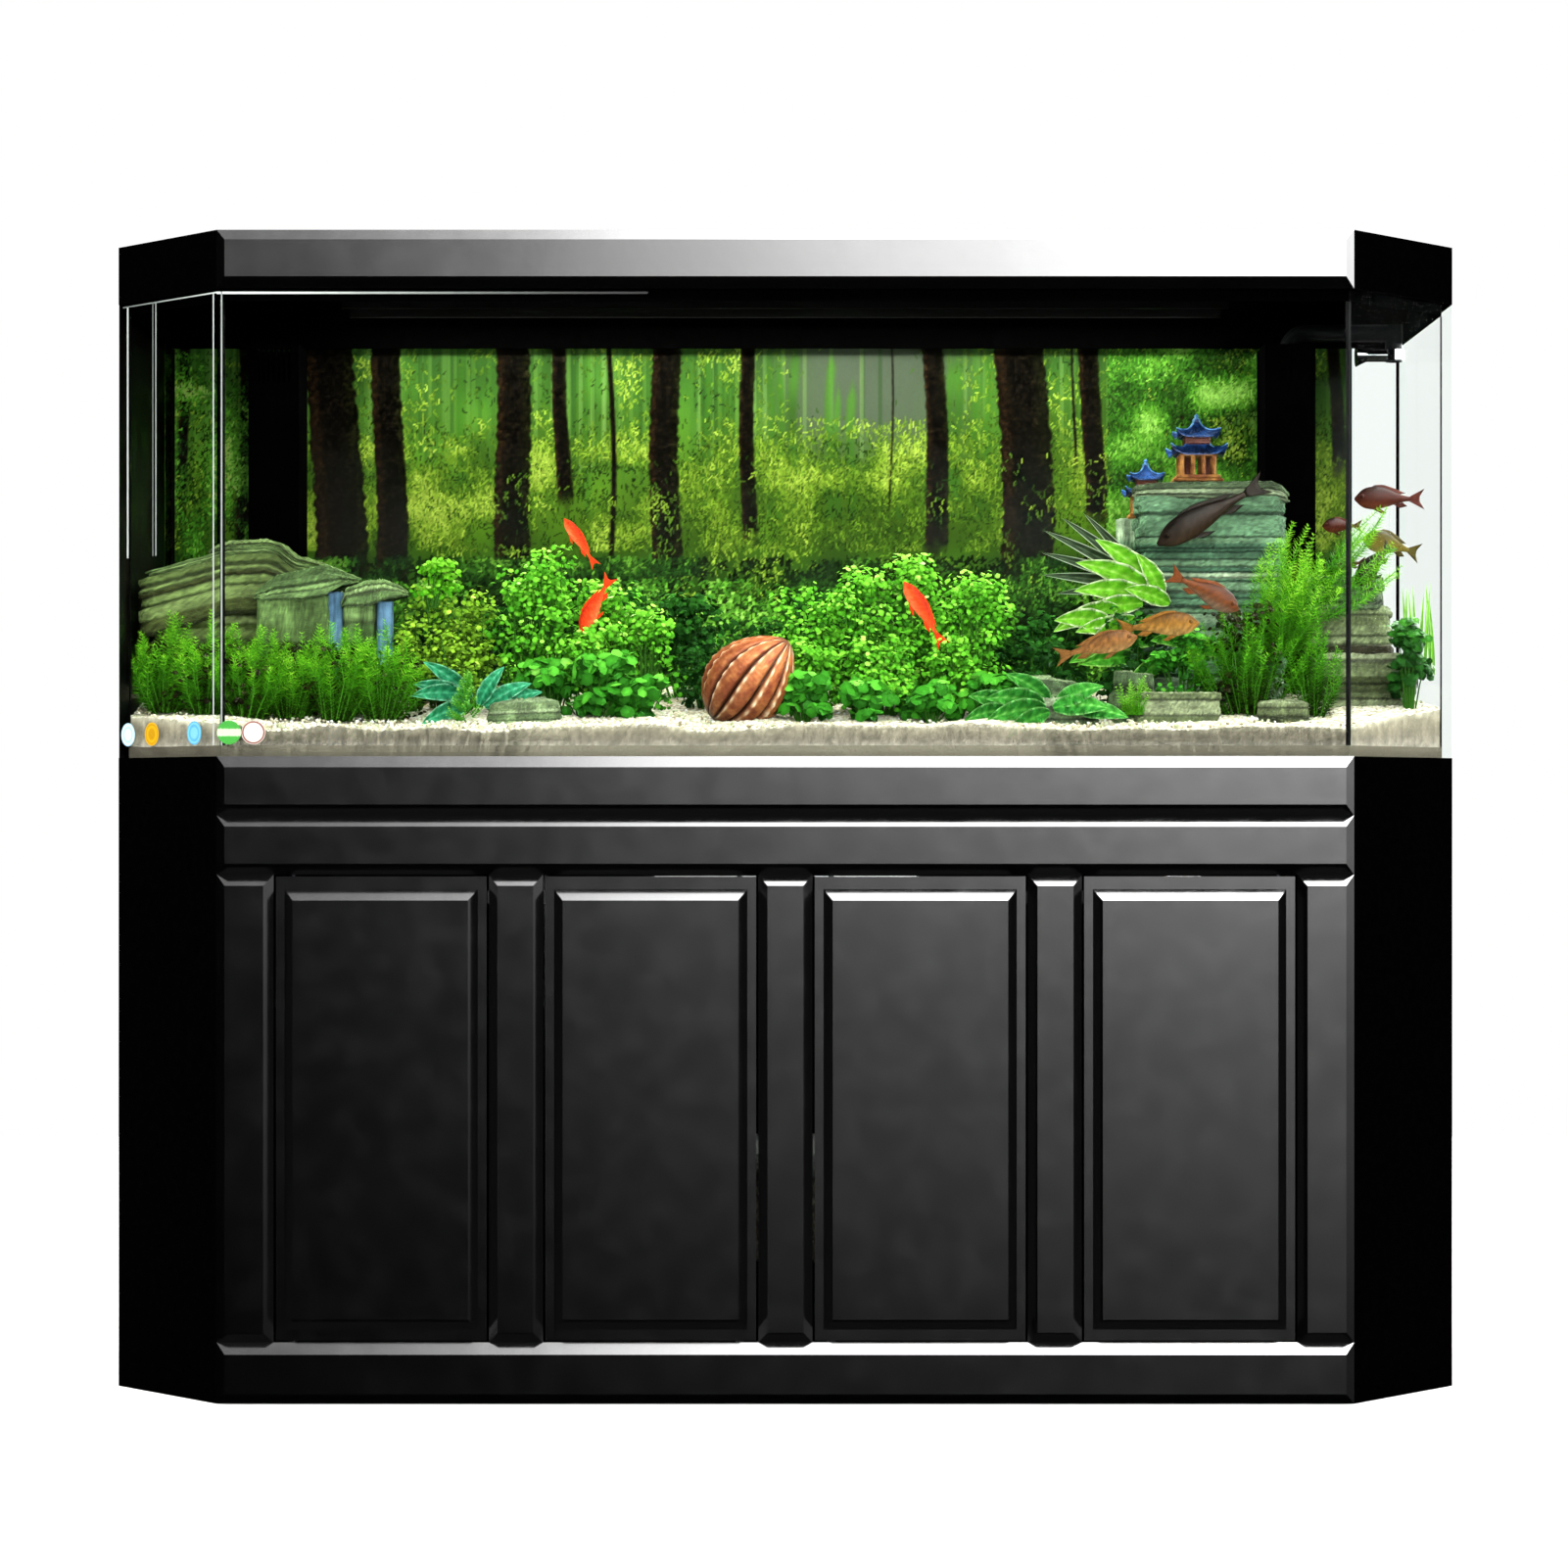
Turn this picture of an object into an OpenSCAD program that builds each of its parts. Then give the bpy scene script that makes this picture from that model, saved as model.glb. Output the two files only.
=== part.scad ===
// Six-sided aquarium on a panelled cabinet stand. The glass tank has a lift-lid hood, overflow
// plumbing that runs down to a sump in the cabinet, and a planted forest scene. X runs to the
// right, Y to the back and Z up. The origin is on the floor at the centre of the footprint.

/* [Overall] */
// Overall width
width = 1500; // [1480:10:1540]
// Overall depth, over the raised mouldings at the front
depth = 450; // [450:2:470]
// Height of the cabinet stand
stand_h = 706; // [700:1:720]
// Height of the glass tank
tank_h = 510; // [505:1:540]
// Height of the hood
hood_h = 64; // [64:1:72]
// Plan length of each corner cut, at 45 degrees
corner_cut = 130; // [124:1:132]

/* [Cabinet] */
// Thickness of the cabinet boards
board_t = 18; // [16:1:18]
// Height of the plinth moulding
plinth_h = 67; // [60:1:72]
// Height of each of the two fascia mouldings under the tank
fascia_h = 64.5; // [60:0.5:66]
// Width of the pilasters between the doors
pilaster_w = 59; // [56:1:60]
// Width of the end pilasters
end_pilaster_w = 62; // [60:1:64]
// How far the raised panels stand proud of the front
relief = 10; // [8:1:10]
// Width of the bevels on the raised panels
bevel = 10; // [8:1:10]
// Height of the bevels on the rails
rail_bevel = 12; // [10:1:13]

/* [Doors] */
// Thickness of the door slabs
door_t = 16; // [16:0.5:17]
// Gap at each side of a door
door_gap = 2.5; // [2.5:0.1:3]
// Gap above and below a door
door_end_gap = 2; // [2:0.1:2.5]
// Distance of the pivot from the door's hinge edge
pivot_in = 18; // [18:0.5:19]
// Radius of the pivot pins
pivot_r = 3; // [2.5:0.1:3]

/* [Tank] */
// Thickness of the glass walls
glass_t = 10; // [8:1:10]
// Thickness of the bottom glass
bottom_t = 12; // [10:1:12]
// Depth of the gravel at the front
gravel_front = 19; // [15:1:25]
// Depth of the gravel at the back
gravel_back = 82; // [70:1:84]
// Width of the square overflow and return columns
column_w = 60; // [58:1:62]

/* [Hood] */
// Thickness of the hood's boards
hood_t = 12; // [12:1:14]
// Width of each lid
lid_w = 585; // [560:5:590]
// Depth of each lid, from its front edge to its hinge
lid_d = 262; // [250:2:262]

/* [Hidden] */
$fn = 48;

side_x = width / 2;
back_y = depth / 2;
front_y = -depth / 2;
face_y = front_y + relief;
corner_sum = side_x - face_y - corner_cut;
front_half = corner_sum + face_y;
tank_z = stand_h;
tank_top = tank_z + tank_h;
hood_top = tank_top + hood_h;
mat_t = 4;
// Glue line between boards or panes that meet
glue = 0.1;
top_board_z = stand_h - mat_t - board_t;
fascia_z = stand_h - 2 * fascia_h;

// Sides of the plan outline, in order from the back left corner round the front
LEFT = 0;
LEFT_CORNER = 1;
FRONT = 2;
RIGHT_CORNER = 3;
RIGHT = 4;
BACK = 5;

// Doors and pilasters, spaced evenly between the end pilasters
opening_w = (2 * front_half - 2 * end_pilaster_w - 3 * pilaster_w) / 4;
pitch = opening_w + pilaster_w;
door_w = opening_w - 2 * door_gap;
door_z0 = plinth_h + door_end_gap;
door_z1 = fascia_z - door_end_gap;
door_back_y = face_y + door_t;
pivot_y = face_y + door_t / 2;
panel_side = 9.5;
panel_top = 14;
panel_bottom = 12;
bush_r = 5;
bush_l = 10;
pin_in = 14;
pin_out = 10;
strike = [20, 1.2, 14];
strike_z = door_z1 - 30;
catch_d = 17;
catch_reach = 47;
run_clear = 0.05;

// Glass tank: the background film lies outside the back and left glass
film_t = 0.6;
tank_side = side_x - 1;
tank_back = back_y - 1;
glass_top = tank_z + bottom_t;
inner_back = tank_back - glass_t;
seam = 3.5;
bed_t = 1;
film_right = 684;

// Hood: lip strips inside the glass, a deck of rails, and lids hinged at their back edge
lip_t = 3;
lip_gap = 0.5;
lip_h = 12;
deck_t = 6;
deck_z = hood_top - 18;
lid_t = 6;
lid_z = deck_z + deck_t + 0.5;
lid_front = -170;
lid_lap = 12;
lid_gap = 15;
hinge_y = lid_front + lid_d;
hinge_z = lid_z + 4.7;
hinge_r = 4.5;
hinge_pin_r = 2;
knuckle_w = 12;
hinge_out = [0.15, 0.85];
// Low round knob on each lid: its place behind the front edge, then waist and head radius
knob_in = 22;
knob_r = [7, 12];
knob_h = [2, 3];
lamp_x = 520;
lamp_y = [92, 178];
lamp_drop = 26;
skirt_t = 3;

// Rocker switch for the lamp, on the deck at the back right
switch_at = [660, 150, deck_z + deck_t];
switch_size = [30, 20, 7];
switch_hole = [24, 13];
rocker_z = 4;
rocker_tilt = 8;
trunnion_r = 1.5;

// Columns and plumbing
column_d = 76;
column_x = [-606, 598];
column_top = tank_top - 16;
column_wall = 3;
pipe_y = 165;
run_z = 430;
bend_r = 40;
drain_r = [16, 13];
return_r = [10, 8];
drain_top = tank_top - 116;
drop_x = 200;
flange_r = 23;
flange_t = 8;
nozzle_x = 725;
nozzle_z = tank_top - 26;
nozzle_l = 45;
nozzle_r = 8;
nozzle_bore = 6;
// Swivel ring of the nozzle, and the length and end radius of its bell
ring_r = 12;
ring_h = 12;
bell = [12, 14];
elbow_r = 22;
valve_z = 560;
valve_r = 19;
valve_h = 50;
ball_r = 13;
ball_flat = 11.5;
stem_r = 4;
stem_end = 44;
gland_r = 9;
gland_l = 34;
lever = [14, 4, 96];

// Sump: a glass box with two baffles, in the middle of the cabinet
sump_x = 260;
sump_y = [-100, 190];
sump_h = 340;
sump_t = 6;
baffle_x = [-120, 110];
baffle_h = 260;
pump_size = [70, 72, 70];
pump_lift = 2;
pump_axis_z = board_t + sump_t + pump_lift + pump_size.z / 2;
pump_wall = 6;
inlet_r = 12;
shaft_r = 3;
chamber_r = 22;
chamber_y = [140, 176];
blades = 6;
blade_l = 28;
// Thickness of the impeller's disc and of its blades
blade_t = [3, 2];

// Service window and cable hole in the back board
window_x = 158;
window_z = 575;
cable_hole_r = 25;
cable_hole_at = [480, 620];

function toward(a, b, d) = a + (b - a) / norm(b - a) * d;

// Plan outline of the six-sided shape, moved inwards by t
function outline(side, back, t) =
    let (s = side - t, f = -face_y - t, b = back - t, c = corner_sum - t * sqrt(2))
    [[-s, b], [-s, s - c], [f - c, -f], [c - f, -f], [s, s - c], [s, b]];

function opening_x(i) = -front_half + end_pilaster_w + (i - 1) * pitch;
function hinged_left(i) = i % 2 == 1;
function pivot_x(i) = hinged_left(i) ? opening_x(i) + door_gap + pivot_in
    : opening_x(i) + opening_w - door_gap - pivot_in;
function free_x(i) = hinged_left(i) ? opening_x(i) + opening_w - door_gap
    : opening_x(i) + door_gap;
function gravel_z(y) = glass_top + gravel_front
    + (gravel_back - gravel_front) * (y - face_y) / (inner_back - face_y);

// One wall of the six-sided shape, from depth t0 to depth t1 inwards, mitred at both ends
module wall(i, side, back, t0, t1, z0, z1) {
    o = outline(side, back, t0);
    n = outline(side, back, t1);
    j = (i + 1) % 6;
    translate([0, 0, z0]) linear_extrude(z1 - z0)
        polygon([toward(o[i], o[j], glue), toward(o[j], o[i], glue), toward(n[j], n[i], glue),
            toward(n[i], n[j], glue)]);
}

module cabinet_wall(i, z0, z1) wall(i, side_x, back_y, 0, board_t, z0, z1);

module glass_wall(i) color([0.8, 0.92, 0.9, 0.3])
    wall(i, tank_side, tank_back, 0, glass_t, tank_z, tank_top);

// The whole plan inside depth t, as a flat plate
module plate(side, back, t, z0, z1)
    translate([0, 0, z0]) linear_extrude(z1 - z0) polygon(outline(side, back, t));

module box(x0, x1, y0, y1, z0, z1) translate([x0, y0, z0]) cube([x1 - x0, y1 - y0, z1 - z0]);

// Raised panel with bevelled edges, standing proud of the front plane
module raised_panel(x0, x1, z0, z1, bevel_x, bevel_z, root = 1) intersection() {
    translate([0, 0, z0]) linear_extrude(z1 - z0)
        polygon([[x0 + root, face_y + root], [x0, face_y], [x0 + bevel_x, front_y],
            [x1 - bevel_x, front_y], [x1, face_y], [x1 - root, face_y + root]]);
    rotate([90, 0, 90]) translate([0, 0, x0]) linear_extrude(x1 - x0)
        polygon([[face_y + root, z0], [face_y, z0], [front_y, z0 + bevel_z],
            [front_y, z1 - bevel_z], [face_y, z1], [face_y + root, z1]]);
}

// Moulded rail across the front of the cabinet
module rail(z0, z1) {
    cabinet_wall(FRONT, z0, z1);
    raised_panel(-front_half, front_half, z0, z1, bevel, rail_bevel);
}

module pilaster(x0, x1) {
    intersection() {
        cabinet_wall(FRONT, plinth_h, fascia_z);
        box(x0, x1, front_y, back_y, plinth_h, fascia_z);
    }
    raised_panel(x0, x1, plinth_h, fascia_z, bevel, rail_bevel);
}

module pivot_holes(z0, z1, r) for (i = [1:4]) translate([pivot_x(i), pivot_y, z0])
    cylinder(h = z1 - z0, r = r);

// ---- Cabinet ----

module bottom_board() color("dimgray") plate(side_x, back_y, board_t, 0, board_t);

module left_side_panel() color("black") cabinet_wall(LEFT, 0, stand_h);

module right_side_panel() color("black") cabinet_wall(RIGHT, 0, stand_h);

module left_corner_panel() color("black") cabinet_wall(LEFT_CORNER, 0, stand_h);

module right_corner_panel() color("black") cabinet_wall(RIGHT_CORNER, 0, stand_h);

// Two full-height boards and a low middle one, which leave a service window
module back_panel() color("black") difference() {
    for (span = [[-side_x, -window_x, stand_h], [glue - window_x, window_x - glue, window_z],
            [window_x, side_x, stand_h]]) intersection() {
        cabinet_wall(BACK, 0, stand_h);
        box(span[0], span[1], 0, back_y, 0, span[2]);
    }
    translate([cable_hole_at[0], back_y + 1, cable_hole_at[1]]) rotate([90, 0, 0])
        cylinder(h = board_t + 2, r = cable_hole_r);
}

module partitions() color("dimgray") for (side = [-1, 1]) difference() {
    translate([side * pitch - board_t / 2, face_y + board_t, board_t])
        cube([board_t, back_y - face_y - 2 * board_t, top_board_z - board_t]);
    translate([side * pitch - board_t, pipe_y, run_z]) rotate([0, 90, 0])
        cylinder(h = 2 * board_t, r = drain_r[0] + 4);
}

module riser_holes(z0, z1) for (x = column_x) translate([x, pipe_y, z0])
    cylinder(h = z1 - z0, r = drain_r[0] + 1);

module top_board() color("dimgray") difference() {
    plate(side_x, back_y, board_t, top_board_z, top_board_z + board_t);
    riser_holes(top_board_z - 1, top_board_z + board_t + 1);
}

module levelling_mat() color("gray") difference() {
    plate(side_x, back_y, board_t, stand_h - mat_t, stand_h);
    riser_holes(stand_h - mat_t - 1, stand_h + 1);
}

module upper_fascia() color("black") rail(fascia_z + fascia_h, stand_h);

module lower_fascia() color("black") difference() {
    rail(fascia_z, fascia_z + fascia_h);
    pivot_holes(fascia_z - 1, fascia_z + bush_l, bush_r);
}

module plinth_fascia() color("black") difference() {
    rail(0, plinth_h);
    pivot_holes(plinth_h - bush_l, plinth_h + 1, bush_r);
}

module pilasters() color("black") {
    pilaster(-front_half, -front_half + end_pilaster_w);
    for (i = [-1:1]) pilaster(i * pitch - pilaster_w / 2, i * pitch + pilaster_w / 2);
    pilaster(front_half - end_pilaster_w, front_half);
}

// Bushes that the door pivots turn in, above and below each door
module pivot_bushes() color("ivory") for (i = [1:4], z = [plinth_h - bush_l, fascia_z])
    translate([pivot_x(i), pivot_y, z]) difference() {
        cylinder(h = bush_l, r = bush_r);
        translate([0, 0, -1]) cylinder(h = bush_l + 2, r = pivot_r + run_clear);
    }

// Magnet blocks fixed to the partitions, reaching behind the free edge of each door
module magnet_catches() color("white") for (i = [1:4]) {
    side = (i < 3 ? -1 : 1) * pitch;
    reach = hinged_left(i) ? -board_t / 2 - catch_reach : board_t / 2;
    translate([side + reach, face_y + board_t, strike_z]) cube([catch_reach, catch_d, strike.z]);
}

module door(i) color("black") difference() {
    x0 = opening_x(i) + door_gap;
    union() {
        box(x0, x0 + door_w, face_y, door_back_y, door_z0, door_z1);
        raised_panel(x0 + panel_side, x0 + door_w - panel_side, door_z0 + panel_bottom,
            door_z1 - panel_top, bevel, rail_bevel);
    }
    for (z = [door_z0 - 1, door_z1 - pin_in]) translate([pivot_x(i), pivot_y, z])
        cylinder(h = pin_in + 1, r = pivot_r);
}

// Pivot pins in the ends of the door and the strike plate at its free edge
module door_hardware(i) color("silver") {
    for (z = [door_z0 - pin_out, door_z1 - pin_in]) translate([pivot_x(i), pivot_y, z])
        cylinder(h = pin_in + pin_out, r = pivot_r);
    x0 = hinged_left(i) ? free_x(i) - strike.x - 4 : free_x(i) + 4;
    translate([x0, door_back_y, strike_z]) cube(strike);
}

// ---- Tank ----

module bottom_glass() color([0.8, 0.92, 0.9, 0.3]) difference() {
    plate(tank_side, tank_back, glass_t + bed_t, tank_z, glass_top);
    riser_holes(tank_z - 1, glass_top + 1);
}

module corner_beads() {
    inner = outline(tank_side, tank_back, glass_t);
    for (i = [0:5]) translate([0, 0, glass_top + glue])
        linear_extrude(tank_h - bottom_t - lip_h - 1)
        polygon([inner[i], toward(inner[i], inner[(i + 1) % 6], seam),
            toward(inner[i], inner[(i + 5) % 6], seam)]);
}

// Black sealant: beads up the six corners and the bed round the bottom glass
module silicone_seams() color("black") {
    corner_beads();
    for (i = [0:5])
        wall(i, tank_side, tank_back, glass_t, glass_t + bed_t, tank_z, glass_top);
}

// Printed film behind the back glass and round the left glass
module background_film() color("darkolivegreen") {
    box(-tank_side, film_right, tank_back, tank_back + film_t, tank_z, tank_top);
    box(-tank_side - film_t, -tank_side, tank_side - corner_sum, tank_back, tank_z, tank_top);
}

// Round stickers low on the glass, three on the left corner and two on the front
module round_stickers() color("gold") {
    sticker_r = 13;
    sticker_t = 0.3;
    sticker_z = tank_z + 26;
    for (x = [-737, -705, -649])
        translate([x, -corner_sum - x, sticker_z]) rotate([90, 0, -45])
            cylinder(h = sticker_t, r = sticker_r);
    for (x = [-606.5, -580]) translate([x, face_y, sticker_z]) rotate([90, 0, 0])
        cylinder(h = sticker_t, r = sticker_r);
}

// ---- Hood ----

// Six boards standing on the glass, and the strips inside them that keep the hood in place
module hood_frame() color("black") for (i = [0:5]) {
    wall(i, side_x, back_y, 0, hood_t, tank_top, hood_top);
    wall(i, tank_side, tank_back, glass_t + lip_gap, glass_t + lip_gap + lip_t,
        tank_top - lip_h, tank_top - glue);
}

module hood_fascia() color("black")
    raised_panel(-front_half, front_half, tank_top, hood_top, bevel, rail_bevel, 0);

// Rails round the two lid openings
module hood_deck() color("black") {
    y0 = lid_front + lid_lap;
    y1 = hinge_y - lid_lap - 2;
    x0 = lid_gap + lid_lap;
    x1 = lid_gap + lid_w - lid_lap;
    for (s = [[-side_x, side_x, front_y, y0], [-side_x, side_x, y1, back_y],
            [-side_x, -x1, y0 + glue, y1 - glue], [-x0, x0, y0 + glue, y1 - glue],
            [x1, side_x, y0 + glue, y1 - glue]])
        intersection() {
            plate(side_x, back_y, hood_t, deck_z, deck_z + deck_t);
            box(s[0], s[1], s[2], s[3], deck_z, deck_z + deck_t);
        }
}

module at_hinges(side) for (f = hinge_out)
    translate([side * (lid_gap + f * lid_w), hinge_y, hinge_z]) rotate([0, 90, 0]) children();

// Fixed knuckles on the deck with the pins that the lids turn on
module lid_hinges() color("dimgray") for (side = [-1, 1]) at_hinges(side) {
    difference() {
        union() {
            cylinder(h = knuckle_w, r = hinge_r, center = true);
            translate([0, -hinge_r, -knuckle_w / 2])
                cube([hinge_z - deck_z - deck_t, 2 * hinge_r, knuckle_w]);
        }
        cylinder(h = knuckle_w + 2, r = hinge_pin_r, center = true);
    }
    cylinder(h = 3 * knuckle_w, r = hinge_pin_r, center = true);
}

// Lid with two barrels at each hinge and a low knob at its front edge
module lid(side) color("black") difference() {
    x = side * (lid_gap + lid_w / 2);
    union() {
        translate([x - lid_w / 2, lid_front, lid_z]) cube([lid_w, lid_d, lid_t]);
        at_hinges(side) cylinder(h = 3 * knuckle_w, r = hinge_r, center = true);
        translate([x, lid_front + knob_in, lid_z + lid_t]) {
            cylinder(h = knob_h[0], r = knob_r[0]);
            translate([0, 0, knob_h[0]]) cylinder(h = knob_h[1], r = knob_r[1]);
        }
    }
    at_hinges(side) {
        cylinder(h = 3 * knuckle_w + 2, r = hinge_pin_r + run_clear, center = true);
        cube([4 * hinge_r, 3 * hinge_r, knuckle_w + 1], center = true);
    }
}

// Lamp channel under the deck: a top board between two skirts
module light_housing() color("black") {
    box(-lamp_x, lamp_x, lamp_y[0], lamp_y[0] + skirt_t, deck_z - lamp_drop, deck_z);
    box(-lamp_x, lamp_x, lamp_y[1] - skirt_t, lamp_y[1], deck_z - lamp_drop, deck_z);
    box(-lamp_x, lamp_x, lamp_y[0] + skirt_t + glue, lamp_y[1] - skirt_t - glue,
        deck_z - 2 * skirt_t, deck_z);
}

module led_strip() color("white")
    box(10 - lamp_x, lamp_x - 10, lamp_y[0] + 8, lamp_y[1] - 8, deck_z - 12, deck_z - 6);

module switch_bezel() color("black") translate(switch_at) difference() {
    translate([-switch_size.x / 2, -switch_size.y / 2, 0]) cube(switch_size);
    translate([-switch_hole.x / 2, -switch_hole.y / 2, -1])
        cube([switch_hole.x, switch_hole.y, switch_size.z + 2]);
    translate([0, 0, rocker_z]) rotate([90, 0, 0])
        cylinder(h = switch_size.y + 2, r = trunnion_r + run_clear, center = true);
}

// Rocker, tilted to its off position
module light_switch() color("dimgray")
    translate(switch_at + [0, 0, rocker_z]) rotate([90, -rocker_tilt, 0]) {
        translate([0, 0, 1 - switch_hole.y / 2]) linear_extrude(switch_hole.y - 2)
            polygon([[-6, -2.6], [6, -2.6], [11, 2], [11, 4], [0, 2.4], [-11, 4], [-11, 2]]);
        cylinder(h = switch_size.y - 1, r = trunnion_r, center = true);
    }

// ---- Plumbing ----

// Four acrylic sheets that make a square column against the back glass
module column(x, front_slots) color("black") {
    y0 = inner_back - column_d;
    half = column_w / 2;
    difference() {
        box(x - half, x + half, y0, y0 + column_wall, glass_top, column_top);
        for (k = [-front_slots:front_slots])
            translate([x + k * 6 - 1.5, y0 - 1, column_top - 45]) cube([3, column_wall + 2, 40]);
    }
    box(x - half, x + half, inner_back - column_wall, inner_back, glass_top, column_top);
    for (x0 = [x - half, x + half - column_wall])
        box(x0, x0 + column_wall, y0 + column_wall + glue, inner_back - column_wall - glue,
            glass_top, column_top);
}

module overflow_column() column(column_x[0], 3);

module return_column() column(column_x[1], 0);

// Quarter bend from +X to +Z, in the plane of the pipes
module bend(big_r, r) rotate([90, 0, 0]) rotate_extrude(angle = 90) translate([big_r, 0]) circle(r);

module along_x(x0, x1, z, r) translate([x0, 0, z]) rotate([0, 90, 0]) cylinder(h = x1 - x0, r = r);

// Pipe that rises from z_low at x_low, runs sideways at run_z and rises again to z_high at x_high
module riser(x_low, z_low, x_high, z_high, r) {
    translate([x_low, 0, z_low]) cylinder(h = run_z - bend_r - z_low, r = r);
    translate([x_low + bend_r, 0, run_z - bend_r]) mirror([1, 0, 0]) bend(bend_r, r);
    along_x(x_low + bend_r, x_high - bend_r, run_z, r);
    translate([x_high - bend_r, 0, run_z + bend_r]) mirror([0, 0, 1]) bend(bend_r, r);
    translate([x_high, 0, run_z + bend_r]) cylinder(h = z_high - run_z - bend_r, r = r);
}

// Nuts above the bottom glass and below the top board
module bulkhead(x) {
    translate([x, 0, glass_top]) cylinder(h = flange_t, r = flange_r);
    translate([x, 0, top_board_z - flange_t]) cylinder(h = flange_t, r = flange_r);
}

module drain_pipe() color("gray") translate([0, pipe_y, 0]) mirror([1, 0, 0]) difference() {
    union() {
        riser(drop_x, 120, -column_x[0], drain_top, drain_r[0]);
        bulkhead(-column_x[0]);
    }
    riser(drop_x, 119, -column_x[0], drain_top + 1, drain_r[1]);
}

// Return line from the pump, with the valve body on its riser and the stub for the nozzle
module return_line(r, z_low, z_stub) {
    top_z = tank_top;
    riser(drop_x, z_low, column_x[1], top_z - elbow_r, r);
    translate([column_x[1] + elbow_r, 0, top_z - elbow_r]) mirror([1, 0, 0]) bend(elbow_r, r);
    along_x(column_x[1] + elbow_r, nozzle_x, top_z, r);
    translate([nozzle_x, 0, z_stub]) cylinder(h = top_z + r - z_stub, r = r);
}

module return_pipe() color("gray") translate([0, pipe_y, 0]) difference() {
    pump_top = board_t + sump_t + pump_lift + pump_size.z;
    union() {
        return_line(return_r[0], pump_top, nozzle_z - nozzle_r);
        bulkhead(column_x[1]);
        translate([column_x[1], 0, valve_z - valve_h / 2]) cylinder(h = valve_h, r = valve_r);
        translate([column_x[1], 0, valve_z]) rotate([90, 0, 0])
            cylinder(h = gland_l, r = gland_r);
    }
    difference() {
        return_line(return_r[1], pump_top - 1, nozzle_z - nozzle_r - 1);
        box(nozzle_x - elbow_r, nozzle_x + elbow_r, -elbow_r, elbow_r,
            tank_top + return_r[1] - 2, hood_top);
    }
    translate([column_x[1], 0, valve_z]) {
        sphere(r = ball_r + run_clear);
        rotate([90, 0, 0]) cylinder(h = gland_l + 1, r = stem_r + run_clear);
    }
}

module valve_ball() color("gray") translate([column_x[1], pipe_y, valve_z]) difference() {
    sphere(r = ball_r);
    cylinder(h = 2 * ball_r + 2, r = return_r[1], center = true);
    box(-ball_r, ball_r, -2 * ball_r, -ball_flat, -ball_r, ball_r);
}

// Stem and lever: the lever stands along the pipe when the valve is open
module valve_handle() color("firebrick") translate([column_x[1], pipe_y, valve_z]) {
    translate([0, -ball_flat, 0]) rotate([90, 0, 0])
        cylinder(h = stem_end - ball_flat, r = stem_r);
    translate([-lever.x / 2, -stem_end, -lever.x / 2]) cube(lever);
}

// Bell-ended nozzle on a swivel ring round the stub of the return pipe
module return_nozzle() color("silver") translate([nozzle_x, pipe_y, nozzle_z]) difference() {
    union() {
        translate([0, 0, -ring_h / 2]) cylinder(h = ring_h, r = ring_r);
        rotate([0, -90, 0]) cylinder(h = nozzle_l, r = nozzle_r);
        translate([-nozzle_l, 0, 0]) rotate([0, 90, 0])
            cylinder(h = bell[0], r1 = bell[1], r2 = nozzle_r);
    }
    translate([0, 0, -nozzle_r - 1])
        cylinder(h = 2 * nozzle_r + 2, r = return_r[0] + run_clear);
    translate([-return_r[0] - 1, 0, 0]) rotate([0, -90, 0])
        cylinder(h = nozzle_l, r = nozzle_bore);
}

module sump_tank() color([0.8, 0.92, 0.9, 0.3]) {
    z0 = board_t;
    z1 = board_t + sump_h;
    zi = z0 + sump_t;
    y0 = sump_y[0];
    y1 = sump_y[1];
    box(-sump_x, sump_x, y0, y1, z0, zi);
    for (y = [y0, y1 - sump_t]) box(-sump_x, sump_x, y, y + sump_t, zi + glue, z1);
    for (pane = [[-sump_x, z1], [baffle_x[0], zi + baffle_h], [baffle_x[1], zi + baffle_h],
            [sump_x - sump_t, z1]])
        box(pane[0], pane[0] + sump_t, y0 + sump_t + glue, y1 - sump_t - glue, zi + glue, pane[1]);
}

// Sponge, ceramic media and filter wool, stacked between the baffles
module filter_media() color("royalblue") {
    levels = [0, 110, 210, 240];
    for (k = [0:2]) box(baffle_x[0] + sump_t + 1, baffle_x[1] - 1, sump_y[0] + sump_t + 1,
        sump_y[1] - sump_t - 1, board_t + sump_t + levels[k], board_t + sump_t + levels[k + 1]);
}

module pump_body() color("dimgray") difference() {
    translate([drop_x - pump_size.x / 2, chamber_y[1] + pump_wall - pump_size.y,
        board_t + sump_t + pump_lift]) cube(pump_size);
    translate([drop_x, 0, pump_axis_z]) rotate([-90, 0, 0]) {
        translate([0, 0, chamber_y[0]])
            cylinder(h = chamber_y[1] - chamber_y[0], r = chamber_r);
        cylinder(h = chamber_y[0] + 1, r = inlet_r);
        cylinder(h = chamber_y[1] + pump_wall - 2, r = shaft_r + run_clear);
    }
    translate([drop_x, pipe_y, pump_axis_z]) cylinder(h = pump_size.z, r = return_r[1]);
}

module pump_impeller() color("white") translate([drop_x, 0, pump_axis_z]) {
    rotate([-90, 0, 0]) translate([0, 0, chamber_y[0] + blade_t.x]) {
        cylinder(h = blade_t.x, r = chamber_r - 2);
        cylinder(h = chamber_y[1] - chamber_y[0], r = shaft_r);
        for (a = [1:blades]) rotate(a * 360 / blades) translate([2, -blade_t.y / 2, 0])
            cube([chamber_r - 4, blade_t.y, blade_l]);
    }
}

// ---- Scene in the tank ----

// Everything above the sloping surface of the gravel
module above_gravel() intersection() {
    children();
    rotate([90, 0, 90]) translate([0, 0, -side_x]) linear_extrude(width)
        polygon([[face_y, gravel_z(face_y)], [inner_back, gravel_z(inner_back)],
            [inner_back, tank_top], [face_y, tank_top]]);
}

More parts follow.
